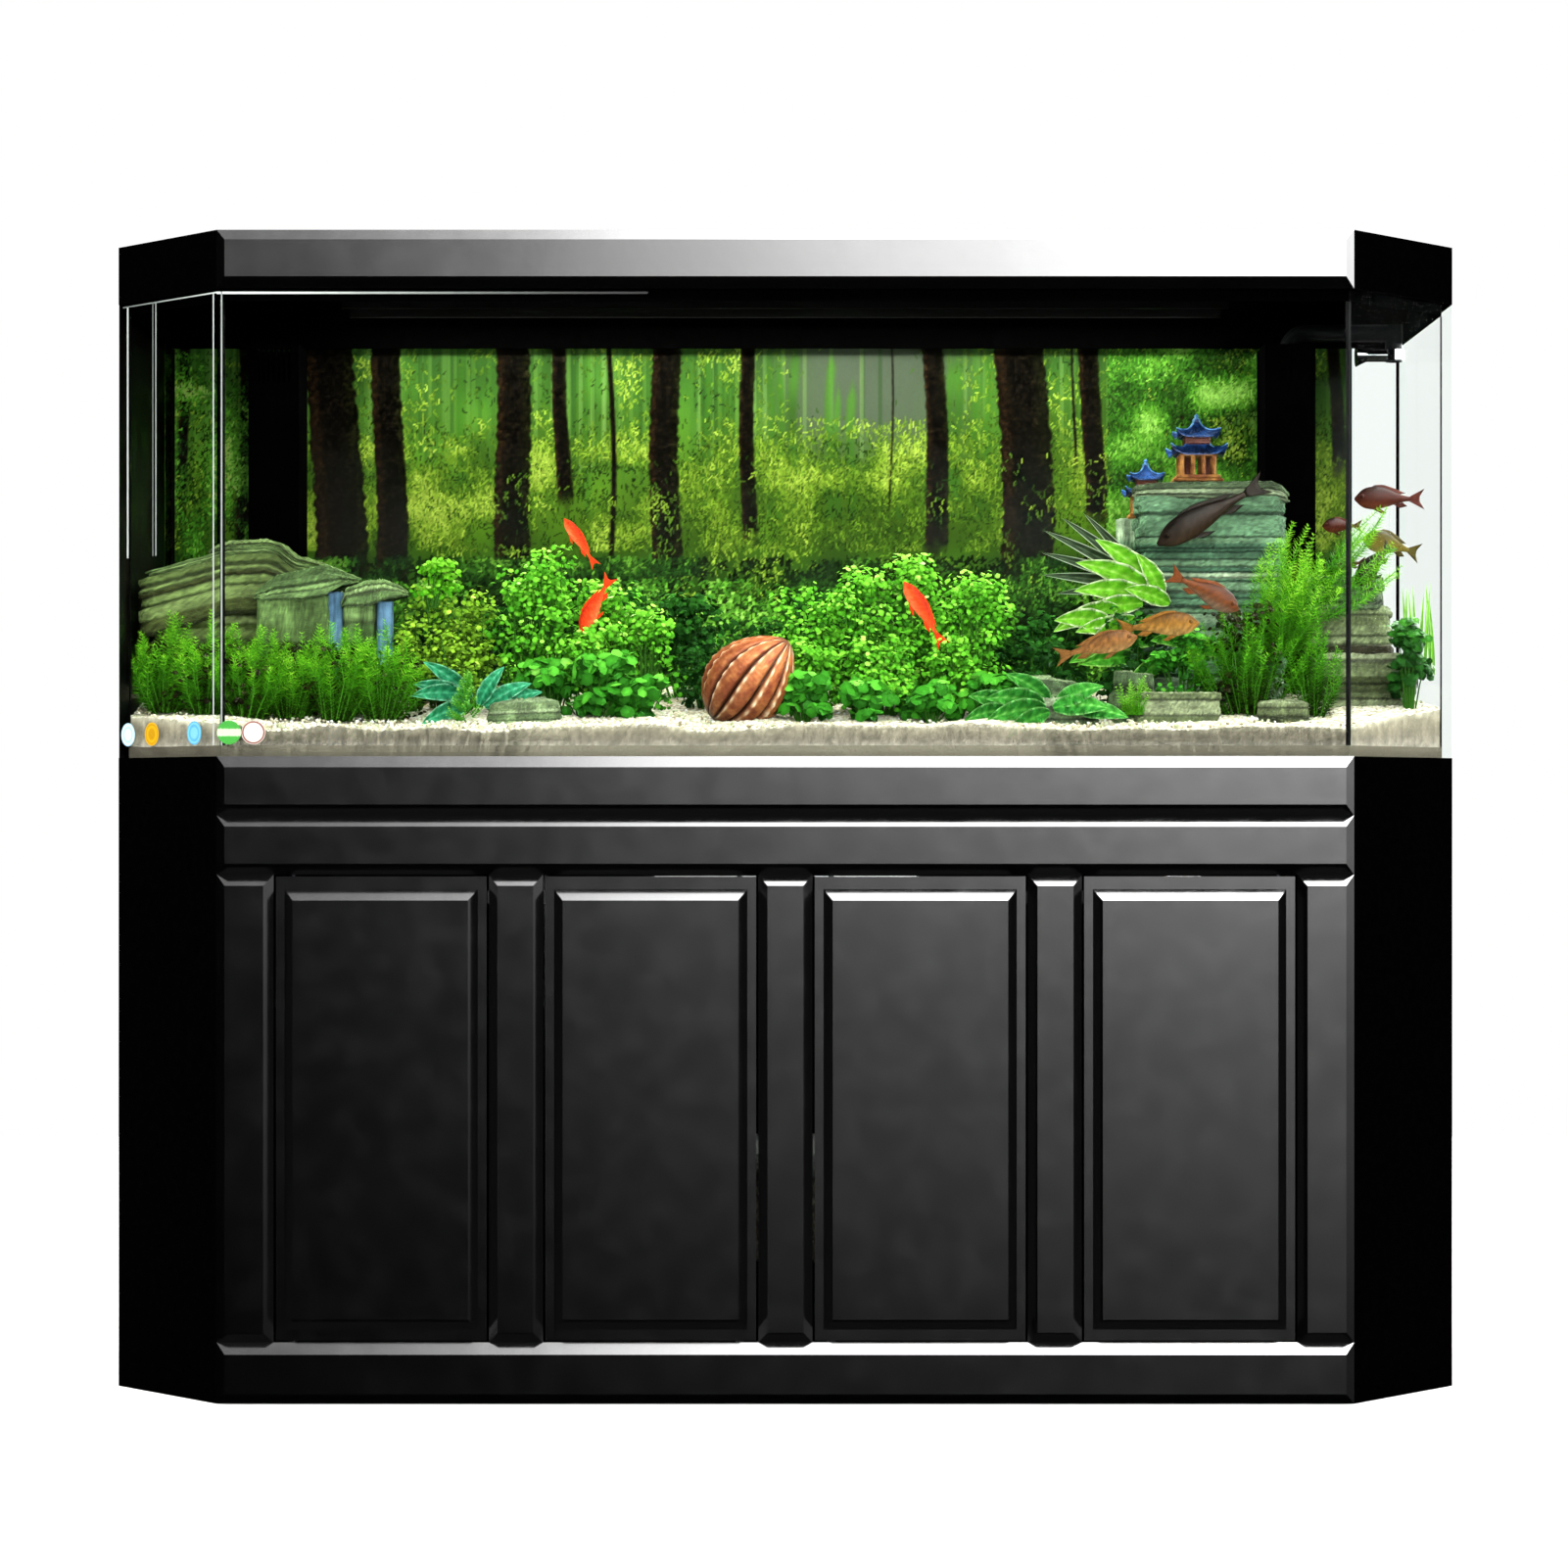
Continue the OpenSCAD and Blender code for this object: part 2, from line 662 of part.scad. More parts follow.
module gravel_bed() color("tan") difference() {
    intersection() {
        plate(tank_side, tank_back, glass_t, glass_top, tank_top);
        rotate([90, 0, 90]) translate([0, 0, -side_x]) linear_extrude(width)
            polygon([[face_y, glass_top], [inner_back, glass_top],
                [inner_back, gravel_z(inner_back)], [face_y, gravel_z(face_y)]]);
    }
    corner_beads();
    for (x = column_x) box(x - column_w / 2, x + column_w / 2, inner_back - column_d,
        inner_back + 1, glass_top - 1, tank_top);
}

// One flat layer of stone, an irregular hexagon in plan
module layer(x, y, w, d, z0, z1) translate([x, y, z0]) linear_extrude(z1 - z0)
    polygon([for (p = [[-0.5, -0.2], [-0.3, -0.5], [0.36, -0.46], [0.5, 0.1], [0.25, 0.5],
        [-0.38, 0.44]]) [p.x * w, p.y * d]]);

// Stone layers stacked between the heights in list z
module stack(x, y, w, d, z) for (k = [0:len(z) - 2])
    layer(x + (k % 2) * 3, y, w - 6 * k, d - 5 * k, z[k], z[k + 1]);

// Top of the stone stack at the right
stack_top = 914;

module rocks() color("darkseagreen") above_gravel() {
    layer(-632, 10, 150, 78, glass_top, 880);
    stack(-627, 15, 212, 100, [880, 905, 932, 958]);
    for (x = [-590, -500]) layer(x, -60, 26, 40, glass_top, 890);
    layer(-543, -60, 132, 56, 890, 912);
    layer(-452, -75, 24, 36, glass_top, 862);
    layer(-452, -75, 54, 48, 862, 880);
    layer(-288, -150, 92, 46, glass_top, 768);
    layer(308, -135, 136, 56, glass_top, 776);
    layer(300, -132, 100, 46, 776, 792);
    stack(497, 62, 172, 88, [glass_top, 900, 945, 990, 1028]);
    layer(426, 131, 62, 44, glass_top, 992);
    stack(655, 0, 124, 78, [glass_top, 826, 872, stack_top]);
}

// Pagoda with tiers of walls under spreading roofs, h tall in all
module pagoda(w, h, tiers) {
    step = h / (tiers + 0.35);
    box(-w * 0.42, w * 0.42, -w * 0.42, w * 0.42, 0, step * 0.12);
    for (k = [0:tiers - 1]) {
        r = w * (0.5 - 0.1 * k);
        z = step * (k + 0.12);
        box(-r * 0.55, r * 0.55, -r * 0.55, r * 0.55, z, z + step * 0.5);
        translate([0, 0, z + step * 0.5]) rotate(45)
            cylinder(h = step * 0.5, r1 = r * sqrt(2), r2 = r * 0.7, $fn = 4);
    }
    translate([0, 0, step * (tiers + 0.12)]) cylinder(h = step * 0.23, r1 = 3, r2 = 1);
}

module pagodas() color("steelblue") {
    translate([478, 58, 1028]) pagoda(64, 90, 2);
    translate([426, 131, 992]) pagoda(50, 80, 2);
}

// Ribbed sea shell lying tilted in the gravel
module shell() color("sienna") above_gravel()
    translate([-42, -138, 788]) rotate([0, 52, -12]) rotate_extrude()
        polygon([[0, -64], [14, -58], [28, -42], [41, -18], [46, 6], [41, 28], [29, 48], [14, 60],
            [0, 64]]);

// Bushes as plain tapered solids: centre, foot radius, top radius and height of the top
bushes = [[-655, -105, 38, 26, 872], [-583, -140, 38, 26, 880], [-509, -152, 34, 24, 872],
    [-438, -152, 34, 22, 850], [-365, -50, 42, 34, 905], [-275, -38, 44, 36, 940],
    [-180, -50, 44, 32, 930], [-366, -152, 24, 4, 806], [40, -40, 44, 32, 915],
    [136, -33, 46, 38, 932], [232, -45, 44, 34, 908], [340, 30, 40, 42, 995],
    [485, -88, 36, 24, 905], [562, -76, 40, 28, 985], [640, -96, 38, 26, 930],
    [395, -100, 34, 26, 800], [-120, 60, 60, 50, 900], [60, 90, 60, 50, 905],
    [220, 90, 55, 40, 900], [-300, 90, 60, 50, 910]];

module plants() color("forestgreen") above_gravel() for (b = bushes)
    translate([b[0], b[1], glass_top]) cylinder(h = b[4] - glass_top, r1 = b[2], r2 = b[3]);

// Fish: place, length, height, heading and climb
swimmers = [[[-229, -112, 946], 65, 14, 180, -56], [[-212, -98, 879], 72, 20, 180, 62],
    [[155, -116, 866], 85, 19, 180, -58], [[463, -146, 890], 88, 28, 0, -28],
    [[412, -150, 851], 92, 28, 0, 4], [[342, -172, 827], 94, 26, 0, 14],
    [[692, -8, 1004], 80, 28, 180, 0], [[698, 14, 952], 68, 28, 180, -15],
    [[668, -52, 926], 62, 24, 180, 50], [[636, -22, 972], 46, 18, 180, 0],
    [[648, 6, 930], 40, 16, 180, 8]];
// Height that each fish's clear stem starts at, or 0 where it stands in the gravel
stem_ends = [0, 0, 0, 0, 0, 0, stack_top, stack_top, 0, stack_top, stack_top];
// The big fish is held by a stem out of the face of the large rock
wall_fish = [[489, -7, 988], 145, 34, 180, 30];
wall_stem = 31;
stem_out = 0.75;

module fish_body(f) translate(f[0]) rotate([0, -f[4], 0]) rotate(f[3]) {
    l = f[1];
    r = f[2] / 2;
    rotate([0, 90, 0]) rotate_extrude() polygon([[0, -l * 0.36], [r * 0.3, -l * 0.34],
        [r * 0.8, -l * 0.12], [r, l * 0.1], [r * 0.85, l * 0.28], [r * 0.45, l * 0.42],
        [0, l * 0.5]]);
    rotate([90, 0, 0]) translate([0, 0, -0.6]) linear_extrude(1.2)
        polygon([[-l * 0.32, -r * 0.15], [-l * 0.5, -r * 0.9], [-l * 0.44, 0],
            [-l * 0.5, r * 0.9], [-l * 0.32, r * 0.15]]);
}

module fish() color("orangered") {
    above_gravel() for (k = [0:len(swimmers) - 1]) {
        f = swimmers[k];
        foot = max(stem_ends[k], glass_top);
        fish_body(f);
        translate([f[0].x, f[0].y, foot]) cylinder(h = f[0].z - foot, r = stem_out);
    }
    fish_body(wall_fish);
    translate(wall_fish[0]) rotate([-90, 0, 0]) cylinder(h = wall_stem, r = stem_out);
}

bottom_board();
left_side_panel();
right_side_panel();
left_corner_panel();
right_corner_panel();
back_panel();
partitions();
top_board();
upper_fascia();
lower_fascia();
plinth_fascia();
pilasters();
pivot_bushes();
magnet_catches();
levelling_mat();
door(1);  // door_1
door(2);  // door_2
door(3);  // door_3
door(4);  // door_4
door_hardware(1);  // door_1_hardware
door_hardware(2);  // door_2_hardware
door_hardware(3);  // door_3_hardware
door_hardware(4);  // door_4_hardware
bottom_glass();
glass_wall(FRONT);  // front_glass
glass_wall(BACK);  // back_glass
glass_wall(LEFT);  // left_glass
glass_wall(RIGHT);  // right_glass
glass_wall(LEFT_CORNER);  // left_corner_glass
glass_wall(RIGHT_CORNER);  // right_corner_glass
silicone_seams();
background_film();
round_stickers();
hood_frame();
hood_fascia();
hood_deck();
lid_hinges();
lid(-1);  // left_lid
lid(1);  // right_lid
light_housing();
led_strip();
switch_bezel();
light_switch();
overflow_column();
return_column();
drain_pipe();
return_pipe();
valve_ball();
valve_handle();
return_nozzle();
sump_tank();
filter_media();
pump_body();
pump_impeller();
gravel_bed();
rocks();
pagodas();
shell();
plants();
fish();
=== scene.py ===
import math

import bpy
import numpy as np
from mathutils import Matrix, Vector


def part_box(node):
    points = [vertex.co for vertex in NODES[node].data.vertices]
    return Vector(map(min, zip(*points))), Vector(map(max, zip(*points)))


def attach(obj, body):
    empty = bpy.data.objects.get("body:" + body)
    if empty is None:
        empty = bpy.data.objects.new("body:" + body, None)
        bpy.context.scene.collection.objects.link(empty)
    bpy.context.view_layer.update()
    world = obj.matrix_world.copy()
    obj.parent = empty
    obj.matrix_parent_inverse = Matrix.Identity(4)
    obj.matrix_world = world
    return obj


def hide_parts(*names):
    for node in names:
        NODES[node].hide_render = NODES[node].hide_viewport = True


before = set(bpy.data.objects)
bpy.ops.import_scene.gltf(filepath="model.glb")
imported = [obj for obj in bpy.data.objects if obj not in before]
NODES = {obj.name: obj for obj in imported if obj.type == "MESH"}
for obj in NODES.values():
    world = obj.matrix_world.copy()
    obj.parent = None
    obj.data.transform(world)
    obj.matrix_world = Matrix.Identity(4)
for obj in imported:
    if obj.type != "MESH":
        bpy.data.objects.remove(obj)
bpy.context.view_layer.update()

MM = 0.001

GLASS_T = 10 * MM
TANK_LOW, TANK_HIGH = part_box("front_glass")
TANK_Z, TANK_TOP = TANK_LOW.z, TANK_HIGH.z
GLASS_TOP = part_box("bottom_glass")[1].z
FRONT_GLASS_Y = TANK_LOW.y
INNER_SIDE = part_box("right_glass")[0].x
BED_LOW, BED_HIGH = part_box("gravel_bed")


# ---- Camera ----

CAMERA_PLACE = (0, -4.295, 0.640)
CAMERA_LENS, CAMERA_SHIFT = 85.93, (-0.0009, 0.02093)


def make_camera():
    """Level camera in front of the middle of the stand; the shift takes in the whole object."""
    data = bpy.data.cameras.new("camera")
    data.sensor_width = 36
    data.lens = CAMERA_LENS
    data.shift_x, data.shift_y = CAMERA_SHIFT
    camera = bpy.data.objects.new("camera", data)
    camera.location = CAMERA_PLACE
    camera.rotation_euler = (math.radians(90), 0, 0)
    bpy.context.scene.collection.objects.link(camera)
    bpy.context.scene.camera = camera


# ---- Colours and node helpers ----

def screen_colour(code):
    """Screen colour of a six-digit hex code, from 0 to 1."""
    return np.array([int(code[i:i + 2], 16) / 255 for i in (0, 2, 4)])


def srgb_to_linear(c):
    return np.where(c <= 0.04045, c / 12.92, ((c + 0.055) / 1.055) ** 2.4)


def colour(code):
    """Linear colour of a six-digit hex code."""
    return srgb_to_linear(screen_colour(code))


def colours(*codes):
    return np.array([colour(code) for code in codes])


def rgba(c):
    return (float(c[0]), float(c[1]), float(c[2]), 1.0)


def feed(tree, socket, value):
    """Links a socket to another one, or gives it a value."""
    if isinstance(value, bpy.types.NodeSocket):
        tree.links.new(value, socket)
    else:
        socket.default_value = rgba(value) if socket.type == "RGBA" else value


def feed_all(tree, made, inputs):
    """Feeds named inputs; an underscore in a name stands for a space."""
    for name, value in inputs.items():
        feed(tree, made.inputs[name.replace("_", " ")], value)


def node(tree, kind, **inputs):
    """New node with its inputs fed."""
    made = tree.nodes.new("ShaderNode" + kind)
    feed_all(tree, made, inputs)
    return made


def maths(tree, operation, *values):
    """Maths node on values that are numbers or sockets."""
    made = tree.nodes.new("ShaderNodeMath")
    made.operation = operation
    for socket, value in zip(made.inputs, values):
        feed(tree, socket, value)
    return made.outputs[0]


def noise_node(tree, place, scale, detail=5.0):
    return node(tree, "TexNoise", Scale=scale, Detail=detail, Vector=place).outputs["Fac"]


def spread(tree, factor, low, high, centre=0.2):
    """Maps the middle of a noise to the range from low to high."""
    return node(tree, "MapRange", From_Min=0.5 - centre, From_Max=0.5 + centre, To_Min=low,
                To_Max=high, Value=factor).outputs["Result"]


def mix(tree, factor, a, b, kind="MIX"):
    """Mix of two colours, each a socket or a linear colour."""
    made = tree.nodes.new("ShaderNodeMix")
    made.data_type = "RGBA"
    made.blend_type = kind
    feed(tree, made.inputs["Factor"], factor)
    feed(tree, made.inputs[6], a)
    feed(tree, made.inputs[7], b)
    return made.outputs[2]


def finish(name, tone, rough, vary=0.15, scale=30.0, second=None, second_scale=8.0,
           bump=0.0, bump_scale=300.0, stretch=(1, 1, 1), tint=False, **sockets):
    """Principled material whose colour and roughness wander with noise. second is another tone
    that comes in in patches, bump the height of the relief, and tint takes the colour that the
    mesh carries in its attribute of that name."""
    mat = bpy.data.materials.new(name)
    mat.use_nodes = True
    tree = mat.node_tree
    shader = tree.nodes["Principled BSDF"]
    where = node(tree, "TexCoord").outputs["Object"]
    place = node(tree, "Mapping", Scale=stretch, Vector=where).outputs["Vector"]
    if tint:
        own = node(tree, "Attribute")
        own.attribute_name = "tint"
        base = own.outputs["Color"]
    else:
        base = colour(tone)
        if second:
            patch = spread(tree, noise_node(tree, place, second_scale, 3.0), 0, 1, 0.12)
            base = mix(tree, patch, colour(tone), colour(second))
    shade = spread(tree, noise_node(tree, place, scale), 1 - vary, 1 + vary)
    grey = node(tree, "CombineColor", Red=shade, Green=shade, Blue=shade)
    sockets["Base Color"] = mix(tree, 1.0, base, grey.outputs[0], "MULTIPLY")
    worn = noise_node(tree, place, scale * 2.3, 3.0)
    sockets["Roughness"] = spread(tree, worn, rough * 0.8, min(1.0, rough * 1.2))
    if bump:
        relief = node(tree, "Bump", Strength=1.0, Distance=bump,
                      Height=noise_node(tree, place, bump_scale, 4.0))
        sockets["Normal"] = relief.outputs["Normal"]
    feed_all(tree, shader, sockets)
    return mat


def tinted(name, rough, vary, scale, specular, **look):
    """Finish of a mesh that carries its own colours."""
    return finish(name, "ffffff", rough, vary=vary, scale=scale, tint=True,
                  Specular_IOR_Level=specular, **look)


# ---- Studio ----

SOFT_LIGHT = 0.55                     # grey that lights matt surfaces
ACROSS_TOP, ABOVE_TOP = 3.2, 18.0     # peaks of the two curves that gloss mirrors
FLOOR_REACH = 3.2                     # half the side of the floor, in metres


def world_light():
    """White for the camera, a soft even light for matt surfaces, and for gloss a studio that is
    dark at the left, brighter to the right, and brightest high up."""
    world = bpy.data.worlds.new("studio")
    bpy.context.scene.world = world
    world.use_nodes = True
    tree = world.node_tree
    rays = node(tree, "LightPath")
    axes = node(tree, "SeparateXYZ", Vector=node(tree, "TexCoord").outputs["Generated"])

    def graph(axis, low, high, points, top):
        """Curve of brightness over one axis of the direction, as a ramp between low and high."""
        made = node(tree, "MapRange", From_Min=low, From_Max=high, Value=axes.outputs[axis])
        curve = node(tree, "ValToRGB", Fac=made.outputs["Result"])
        curve.color_ramp.interpolation = "EASE"
        stops = curve.color_ramp.elements
        for k, (at, value) in enumerate(points):
            stop = stops[k] if k < 2 else stops.new(1.0)
            stop.position = (at - low) / (high - low)
            stop.color = rgba([value / top] * 3)
        return curve.outputs["Color"]

    across = graph("X", -1, 1, [(-1, 0), (-0.25, 0.04), (-0.13, 0.11), (-0.08, 0.3), (-0.03, 0.9),
                                (0.03, 1.8), (0.13, 3.2), (0.3, 3.2), (1, 1.2)], ACROSS_TOP)
    above = graph("Z", -0.5, 1, [(-0.5, 0), (-0.25, 0.02), (-0.14, 0.08), (-0.07, 0.34), (0, 1),
                                 (0.08, 4), (0.149, 9), (0.3, 13), (1, 18)], ABOVE_TOP)
    gloss = mix(tree, 1.0, across, above, "MULTIPLY")
    gloss = mix(tree, 1.0, gloss, [ACROSS_TOP * ABOVE_TOP] * 3, "MULTIPLY")
    # Only the first mirror bounce sees the bright studio
    first = maths(tree, "LESS_THAN", rays.outputs["Ray Depth"], 2.5)
    mirror = maths(tree, "MULTIPLY", first, rays.outputs["Is Glossy Ray"])
    soft = mix(tree, mirror, [SOFT_LIGHT] * 3, gloss)
    feed(tree, tree.nodes["Background"].inputs["Color"],
         mix(tree, rays.outputs["Is Camera Ray"], soft, (1.0, 1.0, 1.0)))


def area_light(name, place, target, size, power, tint=(1, 1, 1)):
    data = bpy.data.lights.new(name, "AREA")
    data.shape = "RECTANGLE"
    data.size, data.size_y = size
    data.energy = power
    data.color = tint
    lamp = bpy.data.objects.new(name, data)
    lamp.location = place
    aim = [target[k] - place[k] for k in range(3)]
    flat = math.hypot(aim[0], aim[1])
    lamp.rotation_euler = (math.atan2(flat, -aim[2]), 0, math.atan2(-aim[0], aim[1]))
    lamp.visible_camera = False
    lamp.visible_glossy = False
    bpy.context.scene.collection.objects.link(lamp)


def studio():
    scene = bpy.context.scene
    scene.view_settings.view_transform = "Standard"
    scene.view_settings.look = "None"
    world_light()
    area_light("front_fill", (0.4, -4.2, 1.5), (0, 0, 0.95), (3.0, 1.4), 130)
    area_light("overhead", (0, -0.6, 4.2), (0, -0.3, 0), (8.0, 8.0), 900)
    lamp_low, lamp_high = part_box("led_strip")
    middle = [(lamp_low[k] + lamp_high[k]) / 2 for k in range(3)]
    under = (middle[0], middle[1], lamp_low.z - 8 * MM)
    area_light("tank_lamp", under, (under[0], under[1] - 0.12, 0), (1.0, 0.06), 9,
               (1.0, 0.99, 0.95))
    floor_mesh = bpy.data.meshes.new("studio_floor")
    r = FLOOR_REACH
    floor_mesh.from_pydata([(-r, -r, 0), (r, -r, 0), (r, r, 0), (-r, r, 0)], [], [(0, 1, 2, 3)])
    floor = bpy.data.objects.new("studio_floor", floor_mesh)
    scene.collection.objects.link(floor)
    floor.data.materials.append(finish("floor", "f4f4f4", 0.9, vary=0.01, scale=1.5,
                                       Specular_IOR_Level=0.0))
    floor.visible_glossy = False


# ---- Finishes of the CAD parts ----

GLASS_MIRROR, GLASS_STEEP = 0.16, 7.0   # mirror at a grazing view, and how late it comes in


def glass_material():
    """Clear glass: what is behind it, and a mirror that grows towards the edges of the view."""
    mat = bpy.data.materials.new("tank_glass")
    mat.use_nodes = True
    tree = mat.node_tree
    tree.nodes.remove(tree.nodes["Principled BSDF"])
    clear = node(tree, "BsdfTransparent", Color=(0.975, 0.99, 0.982))
    gloss = node(tree, "BsdfGlossy", Roughness=0.02)
    view = node(tree, "LayerWeight", Blend=0.5)
    steep = maths(tree, "POWER", view.outputs["Facing"], GLASS_STEEP)
    blend = node(tree, "MixShader", Fac=maths(tree, "MULTIPLY", steep, GLASS_MIRROR))
    feed(tree, blend.inputs[1], clear.outputs[0])
    feed(tree, blend.inputs[2], gloss.outputs[0])
    feed(tree, tree.nodes["Material Output"].inputs["Surface"], blend.outputs[0])
    return mat


def silicone_material():
    """Black silicone in the corners, and a sand colour where it lies below the top of the bottom
    glass.
    """
    mat = finish("silicone", "040404", 0.5, vary=0.3, scale=90, bump=0.0001, bump_scale=60,
                 Specular_IOR_Level=0.02)
    tree = mat.node_tree
    shader = tree.nodes["Principled BSDF"]
    black = shader.inputs["Base Color"].links[0].from_socket
    where = node(tree, "TexCoord").outputs["Object"]
    axes = node(tree, "SeparateXYZ", Vector=where)
    low = node(tree, "MapRange", From_Min=GLASS_TOP + 0.0002, From_Max=GLASS_TOP,
               Value=axes.outputs["Z"])
    sand = mix(tree, noise_node(tree, where, 400), colour("8c8676"), colour("6e6858"))
    feed(tree, shader.inputs["Base Color"], mix(tree, low.outputs["Result"], black, sand))
    return mat


def bevelled(name, width, material_index=-1, angle=30):
    made = NODES[name].modifiers.new("edges", "BEVEL")
    made.width = width
    made.segments = 2
    made.limit_method = "ANGLE"
    made.angle_limit = math.radians(angle)
    made.material = material_index
    made.harden_normals = False


def dress(nodes, mat, width=0.0, edge=None):
    """Gives CAD nodes a material, and fine bevels, which may have a material of their own."""
    for name in nodes:
        data = NODES[name].data
        data.materials.clear()
        data.materials.append(mat)
        if edge:
            data.materials.append(edge)
        if width:
            bevelled(name, width, 1 if edge else -1)


# Finishes of CAD parts: the nodes, the width of their fine bevels in mm, and the finish
CAD_LOOKS = [
    (("door_1", "door_2", "door_3", "door_4", "upper_fascia", "lower_fascia", "plinth_fascia",
      "pilasters", "hood_fascia", "left_side_panel", "right_side_panel"), 0.5,
     ("black_lacquer", "020202", 0.13),
     dict(vary=0.2, scale=14, bump=0.00002, bump_scale=90, Specular_IOR_Level=0.5,
          Coat_Weight=0.3, Coat_Roughness=0.05)),
    (("left_corner_panel", "right_corner_panel", "hood_frame", "hood_deck"), 0.6,
     ("satin_black", "010101", 0.8),
     dict(vary=0.3, scale=120, bump=0.00004, bump_scale=900, Specular_IOR_Level=0.0)),
    (("bottom_board", "top_board", "partitions", "back_panel"), 0.5, ("board", "2b2b2c", 0.6),
     dict(vary=0.2, scale=200, bump=0.00005, bump_scale=700, stretch=(1, 1, 0.15),
          Specular_IOR_Level=0.2)),
    (("light_housing", "switch_bezel"), 0.4, ("black_plastic", "080808", 0.5),
     dict(vary=0.2, scale=300, bump=0.00004, bump_scale=1500, Specular_IOR_Level=0.04)),
    (("overflow_column", "return_column"), 0.3, ("black_acrylic", "020202", 0.3),
     dict(vary=0.3, scale=20, Specular_IOR_Level=0.0)),
    (("left_lid", "right_lid"), 0.5, ("lid_acrylic", "0b0b0d", 0.5),
     dict(vary=0.2, scale=25, bump=0.00003, bump_scale=900, Specular_IOR_Level=0.0)),
    (("led_strip",), 0, ("lamp_diffuser", "f6f4ea", 0.4), dict(vary=0.03, scale=100)),
    (("light_switch",), 0.3, ("rocker", "1c1c1e", 0.3),
     dict(vary=0.1, scale=200, Specular_IOR_Level=0.3)),
    (("door_1_hardware", "door_2_hardware", "door_3_hardware", "door_4_hardware"), 0.3,
     ("steel", "26272a", 0.4), dict(scale=150, stretch=(1, 1, 8), Metallic=1.0)),
    (("lid_hinges",), 0.3, ("dark_steel", "55585c", 0.35), dict(scale=200, Metallic=1.0)),
    (("return_nozzle",), 0.4, ("chrome", "d6d8da", 0.09),
     dict(vary=0.05, scale=60, Metallic=1.0)),
    (("pivot_bushes",), 0.3, ("nylon", "16161a", 0.5), dict(vary=0.1, scale=300)),
    (("magnet_catches",), 0.5, ("catch_plastic", "2a2a2c", 0.5),
     dict(vary=0.06, scale=250, bump=0.00003, bump_scale=1200)),
    (("drain_pipe",), 0, ("pvc", "7f868b", 0.4),
     dict(vary=0.08, scale=80, bump=0.00003, bump_scale=500)),
    (("return_pipe",), 0, ("black_pvc", "0b0c0d", 0.4),
     dict(scale=80, bump=0.00003, bump_scale=500, Specular_IOR_Level=0.1)),
    (("valve_ball",), 0, ("valve_ball_metal", "b0a998", 0.25),
     dict(vary=0.1, scale=150, Metallic=1.0)),
    (("valve_handle",), 0.5, ("lever", "8f1d16", 0.4), dict(vary=0.1, scale=250)),
    (("pump_body",), 1.5, ("pump_plastic", "1d2733", 0.45),
     dict(vary=0.12, scale=350, bump=0.00005, bump_scale=1500)),
    (("pump_impeller",), 0.2, ("impeller_plastic", "e6e6e0", 0.4), dict(vary=0.05, scale=200)),
]


def dress_cad():
    for nodes, width, (name, tone, rough), look in CAD_LOOKS:
        dress(nodes, finish(name, tone, rough, **look), width * MM)
    # Every glass bevel gets a pale diffuse colour: a painted highlight along the glass edges.
    edge_highlight = finish("glass_edge_painted_highlight", "c9d8d2", 0.25, vary=0.15, scale=60,
                      Specular_IOR_Level=0.3)
    dress(["bottom_glass", "front_glass", "back_glass", "left_glass", "right_glass",
           "left_corner_glass", "right_corner_glass", "sump_tank"], glass_material(), 1.1 * MM,
          edge_highlight)
    dress(["silicone_seams"], silicone_material())


# ---- Mesh helpers ----

def piece(name, verts, faces, mats, body="stand", hides=(), tint=None, smooth=True,
          mat_of=None):
    """Makes a piece from arrays: verts is N by 3 in metres, faces a list of index arrays that
    each hold faces with one number of corners, and tint a linear colour for every vertex."""
    mesh = bpy.data.meshes.new(name)
    verts = np.asarray(verts, float)
    loops = np.concatenate([np.asarray(f).ravel() for f in faces])
    sizes = np.concatenate([np.full(len(f), np.shape(f)[1]) for f in faces])
    mesh.vertices.add(len(verts))
    mesh.vertices.foreach_set("co", verts.ravel())
    mesh.loops.add(len(loops))
    mesh.loops.foreach_set("vertex_index", loops.astype(np.int32))
    mesh.polygons.add(len(sizes))
    starts = np.concatenate([[0], np.cumsum(sizes)[:-1]])
    mesh.polygons.foreach_set("loop_start", starts.astype(np.int32))
    mesh.polygons.foreach_set("loop_total", sizes.astype(np.int32))
    mesh.polygons.foreach_set("use_smooth", np.full(len(sizes), smooth))
    for mat in mats:
        mesh.materials.append(mat)
    if mat_of is not None:
        mesh.polygons.foreach_set("material_index", np.asarray(mat_of, np.int32))
    mesh.update(calc_edges=True)
    mesh.validate()
    if tint is not None:
        layer = mesh.color_attributes.new("tint", "FLOAT_COLOR", "POINT")
        full = np.ones((len(verts), 4))
        full[:, :3] = tint
        layer.data.foreach_set("color", full.ravel())
    made = bpy.data.objects.new(name, mesh)
    bpy.context.scene.collection.objects.link(made)
    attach(made, body)
    if hides:
        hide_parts(*hides)


def grid_faces(rows, columns, closed=False, offset=0):
    """Quads of a grid of rows by columns points; closed joins the last column to the first."""
    r = np.arange(rows - 1)[:, None]
    c = np.arange(columns if closed else columns - 1)[None, :]
    n = (c + 1) % columns
    quads = np.stack([r * columns + c, r * columns + n, (r + 1) * columns + n,
                      (r + 1) * columns + c], -1)
    return quads.reshape(-1, 4) + offset


def sheet_faces(rows, columns):
    """Faces of a thin closed sheet: its front grid, its back grid and the rim between them."""
    n = rows * columns
    grid = grid_faces(rows, columns)
    rim = np.concatenate([np.arange(columns), np.arange(1, rows) * columns + columns - 1,
                          np.arange(n - 2, n - columns - 1, -1),
                          np.arange(rows - 2, 0, -1) * columns])
    after = np.roll(rim, -1)
    return [grid, grid[:, ::-1] + n, np.stack([rim, rim + n, after + n, after], -1)]


